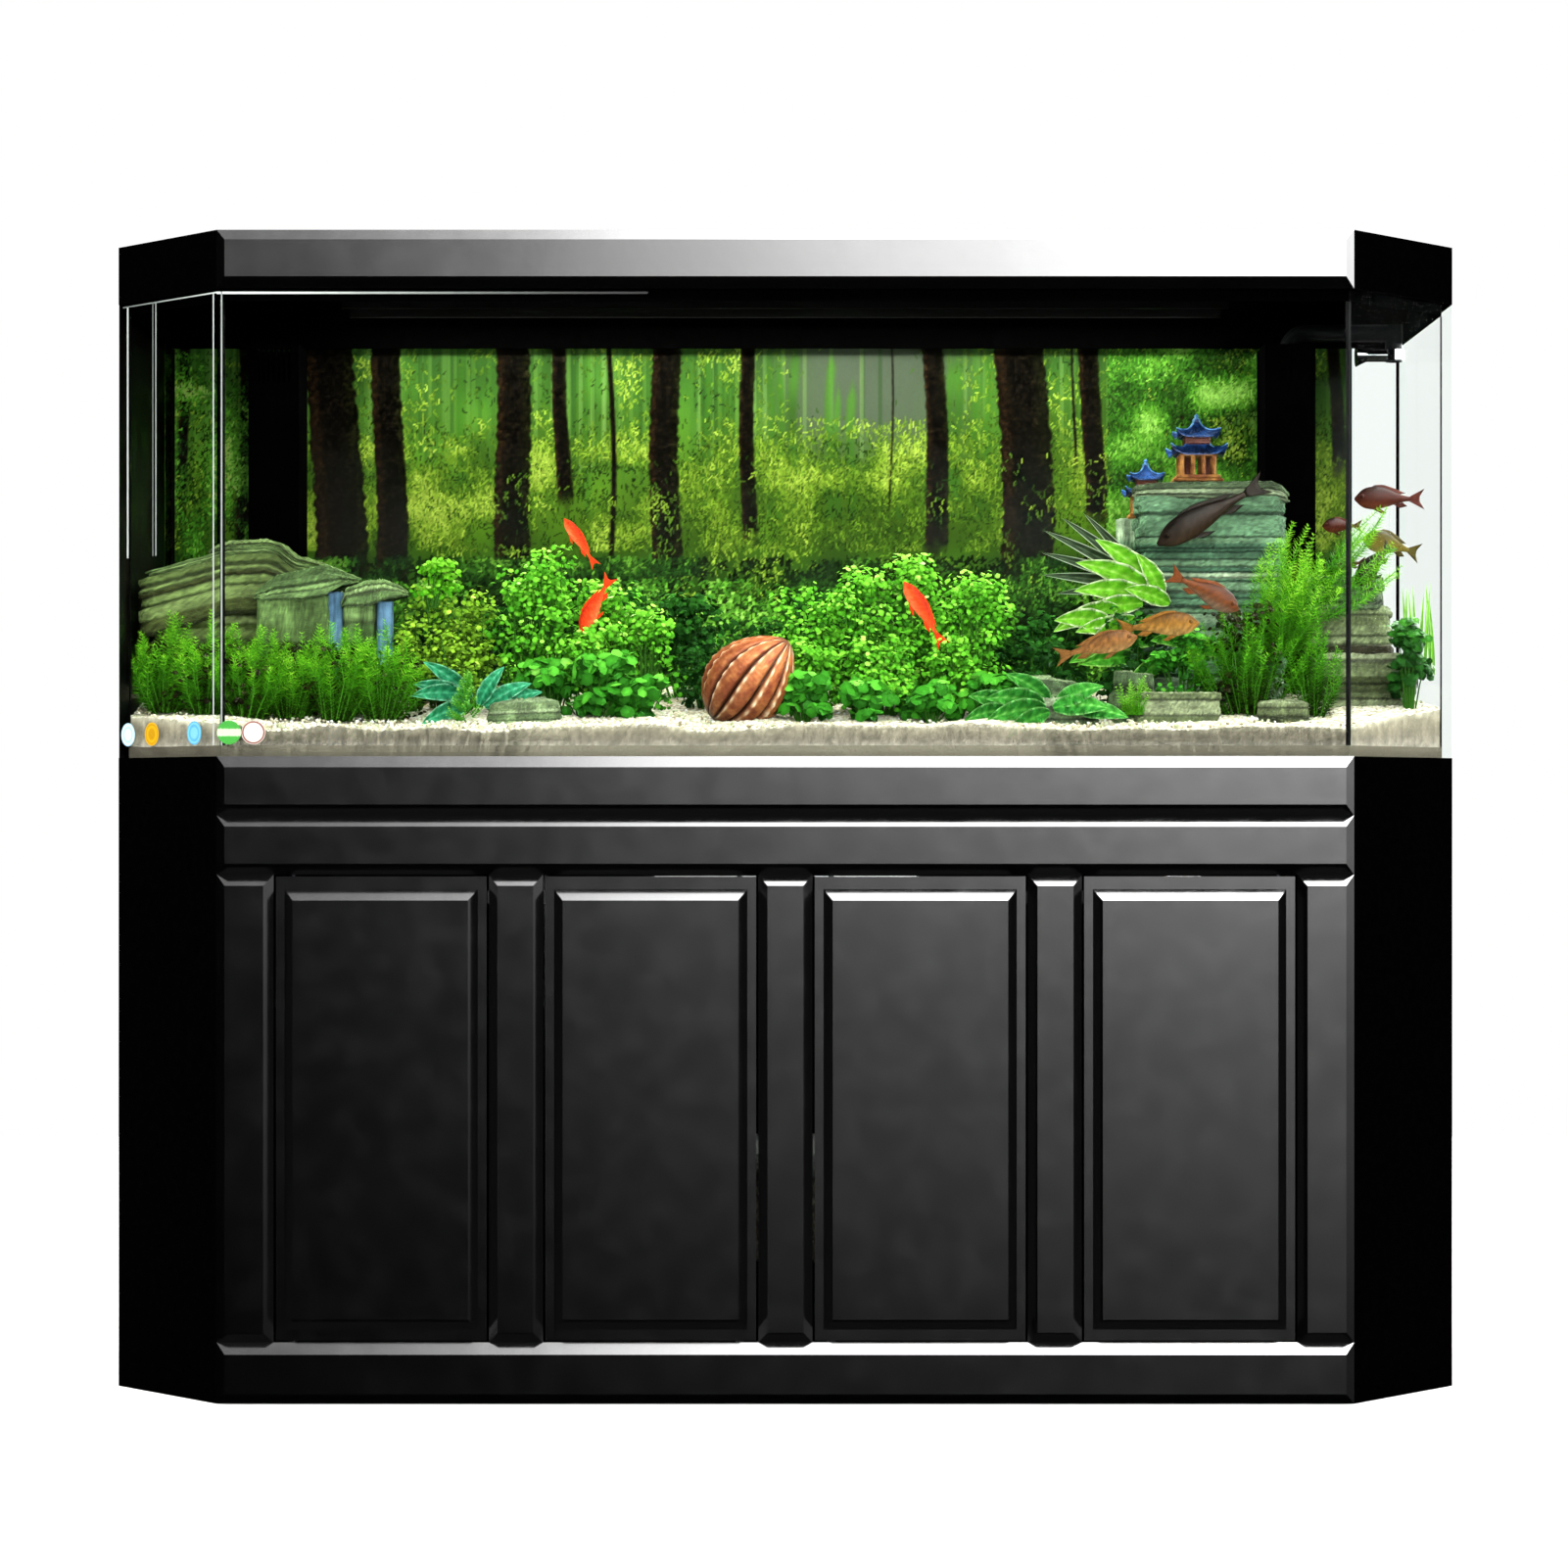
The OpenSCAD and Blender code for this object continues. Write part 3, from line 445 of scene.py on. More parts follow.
def ball_mesh(centre, r):
    """Small round ball."""
    a = circle(10)
    lat = np.linspace(-math.pi / 2, math.pi / 2, 7)
    ring = np.stack([np.cos(lat)[:, None] * np.cos(a)[None], np.cos(lat)[:, None]
                     * np.sin(a)[None], np.repeat(np.sin(lat)[:, None], 10, 1)], -1)
    return centre + ring.reshape(-1, 3) * r, grid_faces(7, 10, True)


def join(parts):
    """Joins (verts, faces, tint) parts, whose faces are one index array each or a list."""
    verts, faces, tints, offset = [], [], [], 0
    for v, f, t in parts:
        verts.append(v)
        for block in (f if isinstance(f, list) else [f]):
            faces.append(np.asarray(block) + offset)
        tints.append(np.broadcast_to(t, (len(v), 3)))
        offset += len(v)
    return np.concatenate(verts), faces, np.concatenate(tints)


def circle(count):
    """Angles of points evenly round a circle."""
    return np.linspace(0, 2 * math.pi, count, endpoint=False)


def painted(tones):
    """Linear tints, one row for each vertex, of an array of screen colours."""
    return srgb_to_linear(np.clip(tones.reshape(-1, 3), 0, 1))


def unit(v):
    return v / np.maximum(np.linalg.norm(v, axis=-1, keepdims=True), 1e-9)


# ---- Printed forest behind the glass ----

FILM_CELL = 1.6 * MM
FILM_LOW, FILM_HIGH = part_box("background_film")
FILM_Y = FILM_HIGH.y - 0.3 * MM

# Trunks: place, width, height of the foot, and how far the foot leans to the side, in mm
TRUNKS = [(-549, 60, 900, 14), (-480, 37, 900, 4), (-332, 42, 930, 6), (-272, 19, 1020, 6),
          (-211, 8, 900, 2), (-145, 36, 890, 2), (-45, 19, 975, 2), (127, 4, 1015, 0),
          (178, 27, 960, 6), (286, 62, 860, 8), (349, 5, 1070, 0), (368, 26, 1000, 6),
          (456, 10, 1110, 0), (489, 27, 1100, 4), (662, 17, 1060, 4), (-728, 14, 1000, 0),
          (-652, 20, 940, 0), (575, 12, 1090, 0)]
# Slim columnar trees that stand in the haze: place, height of the tip, and width, in mm
SPIRES = [(10, 1206, 12), (54, 1196, 11), (62, 1153, 9), (80, 1158, 12), (199, 1185, 11),
          (207, 1190, 9), (231, 1169, 11), (244, 1206, 10), (-392, 1206, 10), (-240, 1206, 9),
          (-5, 1180, 9), (140, 1090, 10), (262, 1206, 9), (-95, 1206, 8), (-18, 1206, 8)]


def ramp(values, stops):
    """Colours of values on a list of (value, hex code) stops, as screen colours from 0 to 1."""
    at = [s[0] for s in stops]
    codes = np.array([screen_colour(s[1]) for s in stops])
    return np.stack([np.interp(values, at, codes[:, k]) for k in range(3)], -1)


def smooth_noise(rng, shape, step):
    """Soft noise from 0 to 1 over an array, with lumps about step cells wide."""
    rows, cols = (max(2, int(n / step) + 2) for n in shape)
    coarse = rng.random((rows, cols))
    r = np.linspace(0, rows - 1.001, shape[0])
    c = np.linspace(0, cols - 1.001, shape[1])
    r0, c0 = r.astype(int), c.astype(int)
    fr, fc = r - r0, c - c0
    fr, fc = (3 * fr ** 2 - 2 * fr ** 3)[:, None], (3 * fc ** 2 - 2 * fc ** 3)[None, :]
    top = coarse[r0][:, c0] * (1 - fc) + coarse[r0][:, c0 + 1] * fc
    low = coarse[r0 + 1][:, c0] * (1 - fc) + coarse[r0 + 1][:, c0 + 1] * fc
    return top * (1 - fr) + low * fr


class Painting:
    """Picture of cells between two places in mm, painted with strokes."""

    def __init__(self, x0, x1, z0, z1, seed):
        self.x0, self.z0 = x0, z0
        self.cell = FILM_CELL / MM
        self.cols = int(round((x1 - x0) / self.cell)) + 1
        self.rows = int(round((z1 - z0) / self.cell)) + 1
        self.rng = np.random.default_rng(seed)
        self.x = np.linspace(x0, x1, self.cols)[None, :]
        self.z = np.linspace(z0, z1, self.rows)[:, None]
        self.picture = np.zeros((self.rows, self.cols, 3))

    def strokes(self, x, z, length, angle, tone, wide=1, strength=1.0):
        """Straight strokes from points (x, z), all at once."""
        steps = int(np.max(length) / self.cell) + 2
        reach = length[:, None] * np.linspace(0, 1, steps)[None, :]
        px = x[:, None] + np.cos(angle)[:, None] * reach
        pz = z[:, None] + np.sin(angle)[:, None] * reach
        full = np.broadcast_to(tone[:, None, :], px.shape + (3,))
        row = np.rint((pz - self.z0) / self.cell).astype(int)
        for shift in range(wide):
            col = np.rint((px - self.x0) / self.cell).astype(int) + shift
            ok = (col >= 0) & (col < self.cols) & (row >= 0) & (row < self.rows)
            old = self.picture[row[ok], col[ok]]
            self.picture[row[ok], col[ok]] = old + (full[ok] - old) * strength

    def foliage(self, count, low, high, tones, size, upward=0.6, keep=None, wide=1,
                left=None, right=None):
        """Needle and leaf strokes between two heights, in clumps, dark ones first."""
        rng = self.rng
        left = self.x[0, 0] if left is None else left
        right = self.x[0, -1] if right is None else right
        clumps = smooth_noise(rng, (self.rows, self.cols), 22)
        x = rng.uniform(left, right, count * 2)
        z = low + (high - low) * rng.random(count * 2) ** 0.9
        col = np.clip(((x - self.x0) / self.cell).astype(int), 0, self.cols - 1)
        row = np.clip(((z - self.z0) / self.cell).astype(int), 0, self.rows - 1)
        lump = clumps[row, col]
        chosen = rng.random(count * 2) < np.clip(lump * 1.5 - 0.2, 0.05, 1)
        if keep is not None:
            chosen &= keep(x, z)
        x, z, lump = x[chosen][:count], z[chosen][:count], lump[chosen][:count]
        light = np.clip(lump * 0.9 + rng.normal(0, 0.16, len(x)), 0, 1)
        order = np.argsort(light)
        x, z, light = x[order], z[order], light[order]
        tone = ramp(light, tones) * rng.uniform(0.85, 1.15, (len(x), 1))
        angle = rng.normal(math.pi / 2, 1.0 - 0.5 * upward, len(x))
        self.strokes(x, z, rng.uniform(0.5, 1, len(x)) * size, angle, tone, wide)

    def trunk(self, x, width, foot, lean):
        """Bark with a warm lit edge at the left and moss on the right."""
        rng = self.rng
        down = (FILM_HIGH.z / MM - self.z) / (FILM_HIGH.z / MM - foot)
        middle = x + lean * down + 3 * np.sin(self.z / 60 + x)
        half = width / 2 * (1 + 0.12 * down ** 2)
        rough = smooth_noise(rng, (self.rows, 1), 3) - 0.5
        across = (self.x - middle - rough * width * 0.08) / half
        soft = np.clip((1 - np.abs(across)) * half / 2.0, 0, 1)
        soft = soft * np.clip((self.z - foot) / 25 + smooth_noise(
            rng, (self.rows, self.cols), 5) * 0.8, 0, 1)
        bark = smooth_noise(rng, (self.rows, self.cols), 2)
        grain = smooth_noise(rng, (self.rows * 2, self.cols), 1.6)[::2]
        dark = ramp(np.clip(bark * 0.55 + grain * 0.45, 0, 1),
                    [(0.2, "050403"), (0.55, "15100a"), (0.8, "33281a"), (1.0, "5a4a30")])
        dark = dark * 0.55
        lit = np.exp(-((across + 0.75) / 0.25) ** 2)[..., None] * (0.3 + bark[..., None])
        moss = np.exp(-((across - 0.8) / 0.3) ** 2)[..., None] * (bark[..., None])
        dark = dark + lit * np.array([0.09, 0.05, 0.02]) + moss * np.array([0.05, 0.07, 0.01])
        self.picture += (dark - self.picture) * soft[..., None]


OLIVE = [(0, "12240a"), (0.3, "2c4a10"), (0.55, "55761c"), (0.8, "7f9c2c"), (1, "a8bf48")]
LEAFY = [(0, "0b1c07"), (0.35, "1e3d0e"), (0.65, "3f7a1e"), (0.85, "6aa832"), (1, "98cf58")]
DEEP = [(0, "030703"), (0.4, "0c1c08"), (0.7, "1c3c10"), (0.9, "3a6c1c"), (1, "6a9a34")]


def misty_at(x):
    """How much mist there is at x: a gap in the forest to the right of the middle."""
    return np.exp(-((x - 100) / 120) ** 4)


def paint_forest():
    """The print on the back glass: a forest with lit undergrowth, in mm from the middle."""
    p = Painting(FILM_LOW.x / MM, FILM_HIGH.x / MM, TANK_Z / MM, TANK_TOP / MM, 5)
    rng = p.rng
    far = ramp(p.z[:, 0], [(760, "0a1406"), (860, "142a0a"), (930, "2a4a10"), (1000, "4a6c18"),
                           (1080, "4c7420"), (1150, "3f6a22"), (1210, "355c22")])
    p.picture[:] = far[:, None, :]
    lumps = smooth_noise(rng, (p.rows, p.cols), 30)[..., None]
    p.picture *= 0.75 + 0.5 * lumps
    haze = misty_at(p.x) * np.clip((p.z - 1030) / 90, 0, 1)
    misty = ramp(p.z[:, 0], [(1030, "4a5a34"), (1100, "545f4a"), (1216, "505848")])[:, None, :]
    p.picture += (misty - p.picture) * haze[..., None]
    # Pale and dark streaks of distant stems
    count = 420
    x = rng.uniform(p.x[0, 0], p.x[0, -1], count)
    tone = ramp(rng.random(count), [(0, "24441a"), (0.5, "47742a"), (0.8, "6c9440"),
                                    (1, "88a860")])
    keep = rng.random(count) > misty_at(x) * 0.93
    foot = rng.uniform(1040, 1130, count)
    p.strokes(x[keep], foot[keep], (1220 - foot)[keep], np.full(keep.sum(), math.pi / 2),
              tone[keep], wide=3, strength=0.4)
    for x, tip, width in SPIRES:
        across = (p.x - x - 2 * np.sin(p.z / 25 + x)) / (width / 2)
        inside = np.clip(1.4 - np.abs(across) - 0.6 * np.clip((p.z - tip + 14) / 14, 0, 2), 0, 1)
        inside = inside * (p.z > 1000) * 0.75
        p.picture += (np.array([0.24, 0.42, 0.12]) * (0.8 + 0.4 * lumps) - p.picture) \
            * inside[..., None]
    p.foliage(16000, 1080, 1216, OLIVE, 6, keep=lambda x, z: rng.random(len(x)) >
              0.75 * (x < 395) + 0.25 * misty_at(x))
    p.foliage(30000, 960, 1120, OLIVE, 6, keep=lambda x, z:
              rng.random(len(x)) > 0.9 * np.clip((z - 1050) / 60, 0, 1))
    for trunk in TRUNKS:
        p.trunk(*trunk)
    p.foliage(9000, 900, 1075, OLIVE, 6, keep=lambda x, z:
              ~((np.abs(x + 520) < 90) & (z > 880)) & (rng.random(len(x)) > (z - 880) / 230))
    p.foliage(15000, 980, 1216, LEAFY, 5, left=390, right=580)
    p.foliage(12000, 760, 1200, LEAFY, 5, left=-749, right=-590,
              keep=lambda x, z: rng.random(len(x)) > (z - 760) / 620)
    p.foliage(16000, 790, 950, DEEP, 7, upward=0.2, wide=2)
    p.foliage(9000, 740, 900, DEEP, 7, upward=0.0, wide=2)
    p.foliage(7000, 800, 925, LEAFY, 4.5, upward=0.0, wide=2)
    # The left end of the print is painted brighter, as painted light.
    left_painted_light = np.interp(p.x, [-672, -655], [1.42, 1.0])
    return p.picture * left_painted_light[..., None]


def paint_side():
    """The print on the left glass: the same forest, painted in deep shade."""
    p = Painting(0, (FILM_HIGH.y - FILM_LOW.y) / MM, TANK_Z / MM, TANK_TOP / MM, 8)
    p.picture[:] = ramp(p.z[:, 0], [(760, "050803"), (1000, "0a1006"), (1216, "080a06")])[:, None]
    p.foliage(2500, 740, 1100, DEEP, 8)
    for x, width in ((50, 40), (130, 26), (215, 50)):
        p.trunk(x, width, 800, 4)
    p.foliage(700, 740, 1216, [(0, "10150c"), (1, "3c4436")], 16)
    return 0.02 + p.picture * 0.7


def film_sheet(name, across, picture, place, mat, hides=()):
    """Sheet of film 0.2 mm thick, with the picture in its colours."""
    rows, cols = picture.shape[:2]
    height = np.linspace(TANK_Z, TANK_TOP, rows)
    a, h = np.meshgrid(across, height)
    verts = place(a.ravel(), h.ravel())
    # The picture is painted darker towards the top, as painted shade against the tank lamp's light
    # from above.
    piece(name, verts, [grid_faces(rows, cols)], [mat], hides=hides,
          tint=painted(picture)
          * np.interp(h.ravel() / MM, [840, 960, 1080, 1200], [1.0, 0.62, 0.44, 0.36])[:, None])


def background():
    film = tinted("printed_film", 0.45, 0.05, 400, 0.05)
    forest = paint_forest()
    across = np.linspace(FILM_LOW.x, FILM_HIGH.x, forest.shape[1])
    half = forest.shape[1] // 2
    back = lambda a, h: np.stack([a, np.full_like(a, FILM_Y), h], -1)
    film_sheet("film_back_left", across[:half + 1], forest[:, :half + 1], back, film,
               ("background_film",))
    film_sheet("film_back_right", across[half:], forest[:, half:], back, film)
    side = paint_side()
    along = np.linspace(FILM_LOW.y, FILM_HIGH.y, side.shape[1])
    film_sheet("film_left", along, side,
               lambda a, h: np.stack([np.full_like(a, FILM_LOW.x + 0.3 * MM), a, h], -1), film)


# ---- Gravel ----

BED_FRONT = 20.5 * MM       # depth of the gravel against the front glass
CLEAR = 0.5 * MM            # gap that the scene keeps from the glass


def corner_x(y, inset=0.0):
    """Half width of the tank's inside at depth y."""
    front_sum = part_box("front_glass")[1].x - FRONT_GLASS_Y - math.sqrt(2) * (GLASS_T + inset)
    return np.minimum(INNER_SIDE - inset, front_sum + y)


def keep_inside(verts):
    """Moves points that would go through the glass back inside it."""
    verts[:, 1] = np.maximum(verts[:, 1], FRONT_GLASS_Y + GLASS_T + CLEAR)
    reach = corner_x(verts[:, 1], CLEAR)
    verts[:, 0] = np.clip(verts[:, 0], -reach, reach)


def bed_z(y):
    """Height of the sloping gravel."""
    front = GLASS_TOP + BED_FRONT
    return front + (BED_HIGH.z - front) * (y - BED_LOW.y) / (BED_HIGH.y - BED_LOW.y)


def gravel():
    """Sloping bed of grains, which show as lumps with their own tones; higher points are painted
    lighter.
    """
    rng = np.random.default_rng(11)
    rows, cols = 150, 520
    y = np.linspace(BED_LOW.y, BED_HIGH.y - 0.3 * MM, rows)
    u = np.linspace(-1, 1, cols)
    yy = np.repeat(y[:, None], cols, 1)
    xx = u[None, :] * corner_x(y, 0.3 * MM)[:, None]
    grains = rng.random((rows, cols))
    waves = smooth_noise(rng, (rows, cols), 26)
    zz = bed_z(yy) + (grains - 0.5) * 2.6 * MM + (waves - 0.6) * 10 * MM
    zz = np.minimum(zz, BED_HIGH.z)
    tones = colours("efe9d8", "d8cfb4", "c3b998", "f7f3ea", "9c9a7c", "b9c79c", "8a7f66",
                    "e2d8c0")
    tint = tones[rng.integers(0, len(tones), (rows, cols))]
    # Painted light and shade: each point is lighter the higher its grain stands, and darker where
    # it sits low.
    tint = tint * (0.75 + 0.35 * grains[..., None])
    top = np.stack([xx, yy, zz], -1)
    # Walls down to the bottom glass: grey-brown sand in bands of painted light and shade, lightest
    # at the top
    rim = np.concatenate([top[0], top[1:, -1], top[-1, -2::-1], top[-2:0:-1, 0]])
    layers = 7
    walls = np.repeat(rim[None], layers, 0)
    walls[..., 2] = GLASS_TOP + (rim[None, :, 2] - GLASS_TOP) \
        * np.linspace(1, 0, layers)[:, None]
    shade = smooth_noise(rng, (layers, len(rim)), 1.5)[..., None]
    wall_light_and_shade = ramp(np.linspace(0, 1, layers), [(0, "b4ae98"), (0.2, "8e8774"), (0.6, "787162"),
                                            (1, "989284")])[:, None, :]
    wall_tint = painted(wall_light_and_shade * (0.8 + 0.35 * shade))
    underside = np.concatenate([rim, [[0, 0, GLASS_TOP]]])
    underside[:, 2] = GLASS_TOP
    fan = np.arange(len(rim))
    fan_faces = np.stack([(fan + 1) % len(rim), fan, np.full(len(rim), len(rim))], -1)
    parts = [(top.reshape(-1, 3), grid_faces(rows, cols), tint.reshape(-1, 3)),
             (walls.reshape(-1, 3), grid_faces(layers, len(rim), True)[:, ::-1],
              wall_tint),
             (underside, fan_faces, colour("978f7e"))]
    verts, faces, tints = join(parts)
    mat = tinted("gravel", 0.85, 0.12, 260, 0.1, bump=0.0006, bump_scale=420)
    piece("gravel", verts, faces, [mat], hides=("gravel_bed",), tint=tints,
          smooth=False)
    pebbles(rng, mat)


PEBBLE = np.array([(1, 0, 0), (0.4, 0.85, 0.1), (-0.6, 0.7, 0), (-1, -0.1, 0.1),
                   (-0.4, -0.85, 0), (0.6, -0.7, 0.1), (0, 0, 0.7), (0, 0, -0.7)])
# Faces of a ring of six points closed by a seventh above and an eighth below
HEX_FACES = np.array([(k, (k + 1) % 6, 6) for k in range(6)]
                     + [((k + 1) % 6, k, 7) for k in range(6)])


def pebbles(rng, mat):
    """Loose grains on the surface of the bed."""
    count = 3200
    y = BED_LOW.y + 4 * MM + (BED_HIGH.y - BED_LOW.y - 8 * MM) * rng.random(count) ** 1.7
    x = rng.uniform(-1, 1, count) * corner_x(y, 4 * MM)
    size = rng.uniform(1.4, 3.0, count) * MM
    place = np.stack([x, y, np.minimum(bed_z(y) - 0.5 * MM, BED_HIGH.z - size)], -1)
    axes = frames(unit(rng.normal(size=(count, 3)) + [0, 0, 1.5]), rng)
    tones = colours("f4f0e4", "ddd4ba", "c9c3a4", "a7ad86", "8f8468", "cfdcb4", "ffffff")
    verts, faces = scatter(PEBBLE, HEX_FACES, place, axes, size)
    tint = np.repeat(tones[rng.integers(0, len(tones), count)], len(PEBBLE), 0)
    piece("loose_grains", verts, [faces], [mat], tint=tint, smooth=False)


def frames(normals, rng):
    """Axes whose third is each normal, turned at random about it."""
    side = unit(np.cross(normals, unit(rng.normal(size=normals.shape))))
    return np.stack([side, np.cross(normals, side), normals], -1)


def scatter(shape, shape_faces, places, axes, sizes):
    """Copies of a small shape at every place, with its own axes and size."""
    sizes = np.asarray(sizes, float)
    if sizes.ndim == 1:
        sizes = sizes[:, None]
    local = shape[None] * (sizes[:, None, :] if sizes.shape[1] == 3 else sizes[:, :, None])
    verts = np.einsum("nij,nkj->nki", axes, local) + places[:, None, :]
    faces = shape_faces[None] + np.arange(len(places))[:, None, None] * len(shape)
    return verts.reshape(-1, 3), faces.reshape(-1, shape_faces.shape[1])


# ---- Rocks ----

def strata_rock(rng, x, y, width, depth, low, high, tones, layers, taper=0.0, ledges=0.05,
                crown=0.0, tilt=0.0, wave=0.02, power=4.0, top=None, foot=None):
    """Bedded stone: a rounded block whose layers step in and out, with a rough rim. Places and
    sizes are in mm. crown raises the middle of the top, tilt slopes the beds, and top and foot
    are lines of (x, z) that the upper and lower faces follow instead of low and high."""
    around = 160
    angle = circle(around)
    c, s = np.cos(angle), np.sin(angle)
    shape = (np.abs(c) ** power + np.abs(s) ** power) ** (-1 / power)
    bulges = 1 + wave * 3 * rng.normal(size=14)
    facets = np.interp(angle, np.linspace(0, 2 * math.pi, 15), np.r_[bulges, bulges[0]])
    per = 4
    rings = layers * per + 1
    t = np.linspace(0, 1, rings)
    edges = np.concatenate([[0], np.cumsum(rng.uniform(0.35, 1.65, layers))])
    edges = edges / edges[-1]
    bed = np.clip(np.searchsorted(edges, t, "right") - 1, 0, layers - 1)
    inside = (t - edges[bed]) / (edges[bed + 1] - edges[bed])
    step = (rng.random(layers + 1) - 0.5)[bed] * 2 * ledges
    groove = -0.035 * (inside < 0.3) * rng.random(layers + 1)[bed]
    size = 1 + step + groove - taper * t
    rough = rng.normal(0, 0.006, (rings, around))
    drift = np.array([smooth_noise(rng, (1, around), 9)[0] for _ in range(layers)])
    radius = shape * facets * (size[:, None] + (drift[bed] - 0.5) * 0.08 + rough)
    px = x + radius * c * width / 2
    py = y + radius * s * depth / 2
    pz = low + (high - low) * t[:, None] + tilt * (px - x) * t[:, None]
    if top:
        upper = np.interp(px, *zip(*top))
        lower = np.interp(px, *zip(*foot)) if foot else low
        pz = lower + (upper - lower) * t[:, None]
    pz = pz + rng.normal(0, 0.4, pz.shape)
    side = np.stack([px, py, pz], -1)
    # Top: rings that close in, with a shallow broken surface
    caps = []
    steps = 9
    for k in range(1, steps + 1):
        f = 1 - k / steps
        ring = side[-1].copy()
        ring[:, :2] = [x, y] + (ring[:, :2] - [x, y]) * f
        if top:
            ring[:, 2] = np.interp(ring[:, 0], *zip(*top))
        ring[:, 2] = ring[:, 2] + crown * (1 - f ** 2) + rng.normal(0, 0.8, around) * (f > 0)
        caps.append(ring)
    verts = np.concatenate([side, np.stack(caps)]).reshape(-1, 3)
    total = rings + steps
    tone = ramp(rng.random(layers + 1), tones)[bed]
    tone = np.concatenate([tone, np.repeat(ramp(np.array([0.85]), tones), steps, 0)])
    speck = rng.normal(1, 0.12, (total, around, 1)) * (0.7 + 0.5 * smooth_noise(
        rng, (total, around), 7)[..., None])
    # The grooves between beds are painted half as bright, as painted shade in the recesses.
    dark = np.ones(total)
    dark[:rings] -= 0.5 * (groove < -0.008)
    tint = tone[:, None, :] * speck * dark[:, None, None]
    return verts * MM, grid_faces(total, around, True), painted(tint)


SAGE = [(0, "42503a"), (0.3, "58684c"), (0.6, "6a7a5c"), (0.85, "7e8e6c"), (1, "a0ac8c")]
BROWN_SAGE = [(0, "26231a"), (0.3, "4a4c32"), (0.55, "606a48"), (0.8, "74805c"), (1, "98a27c")]
OLIVE_STONE = [(0, "2c321c"), (0.35, "4c5638"), (0.65, "667050"), (0.85, "7e8866"),
               (1, "9ca482")]
SLATE = [(0, "44563a"), (0.4, "586a48"), (0.7, "6c7e58"), (1, "8a9a76")]
TEAL_STONE = [(0, "40604a"), (0.35, "527256"), (0.65, "648464"), (0.9, "7a9676"), (1, "9cb090")]


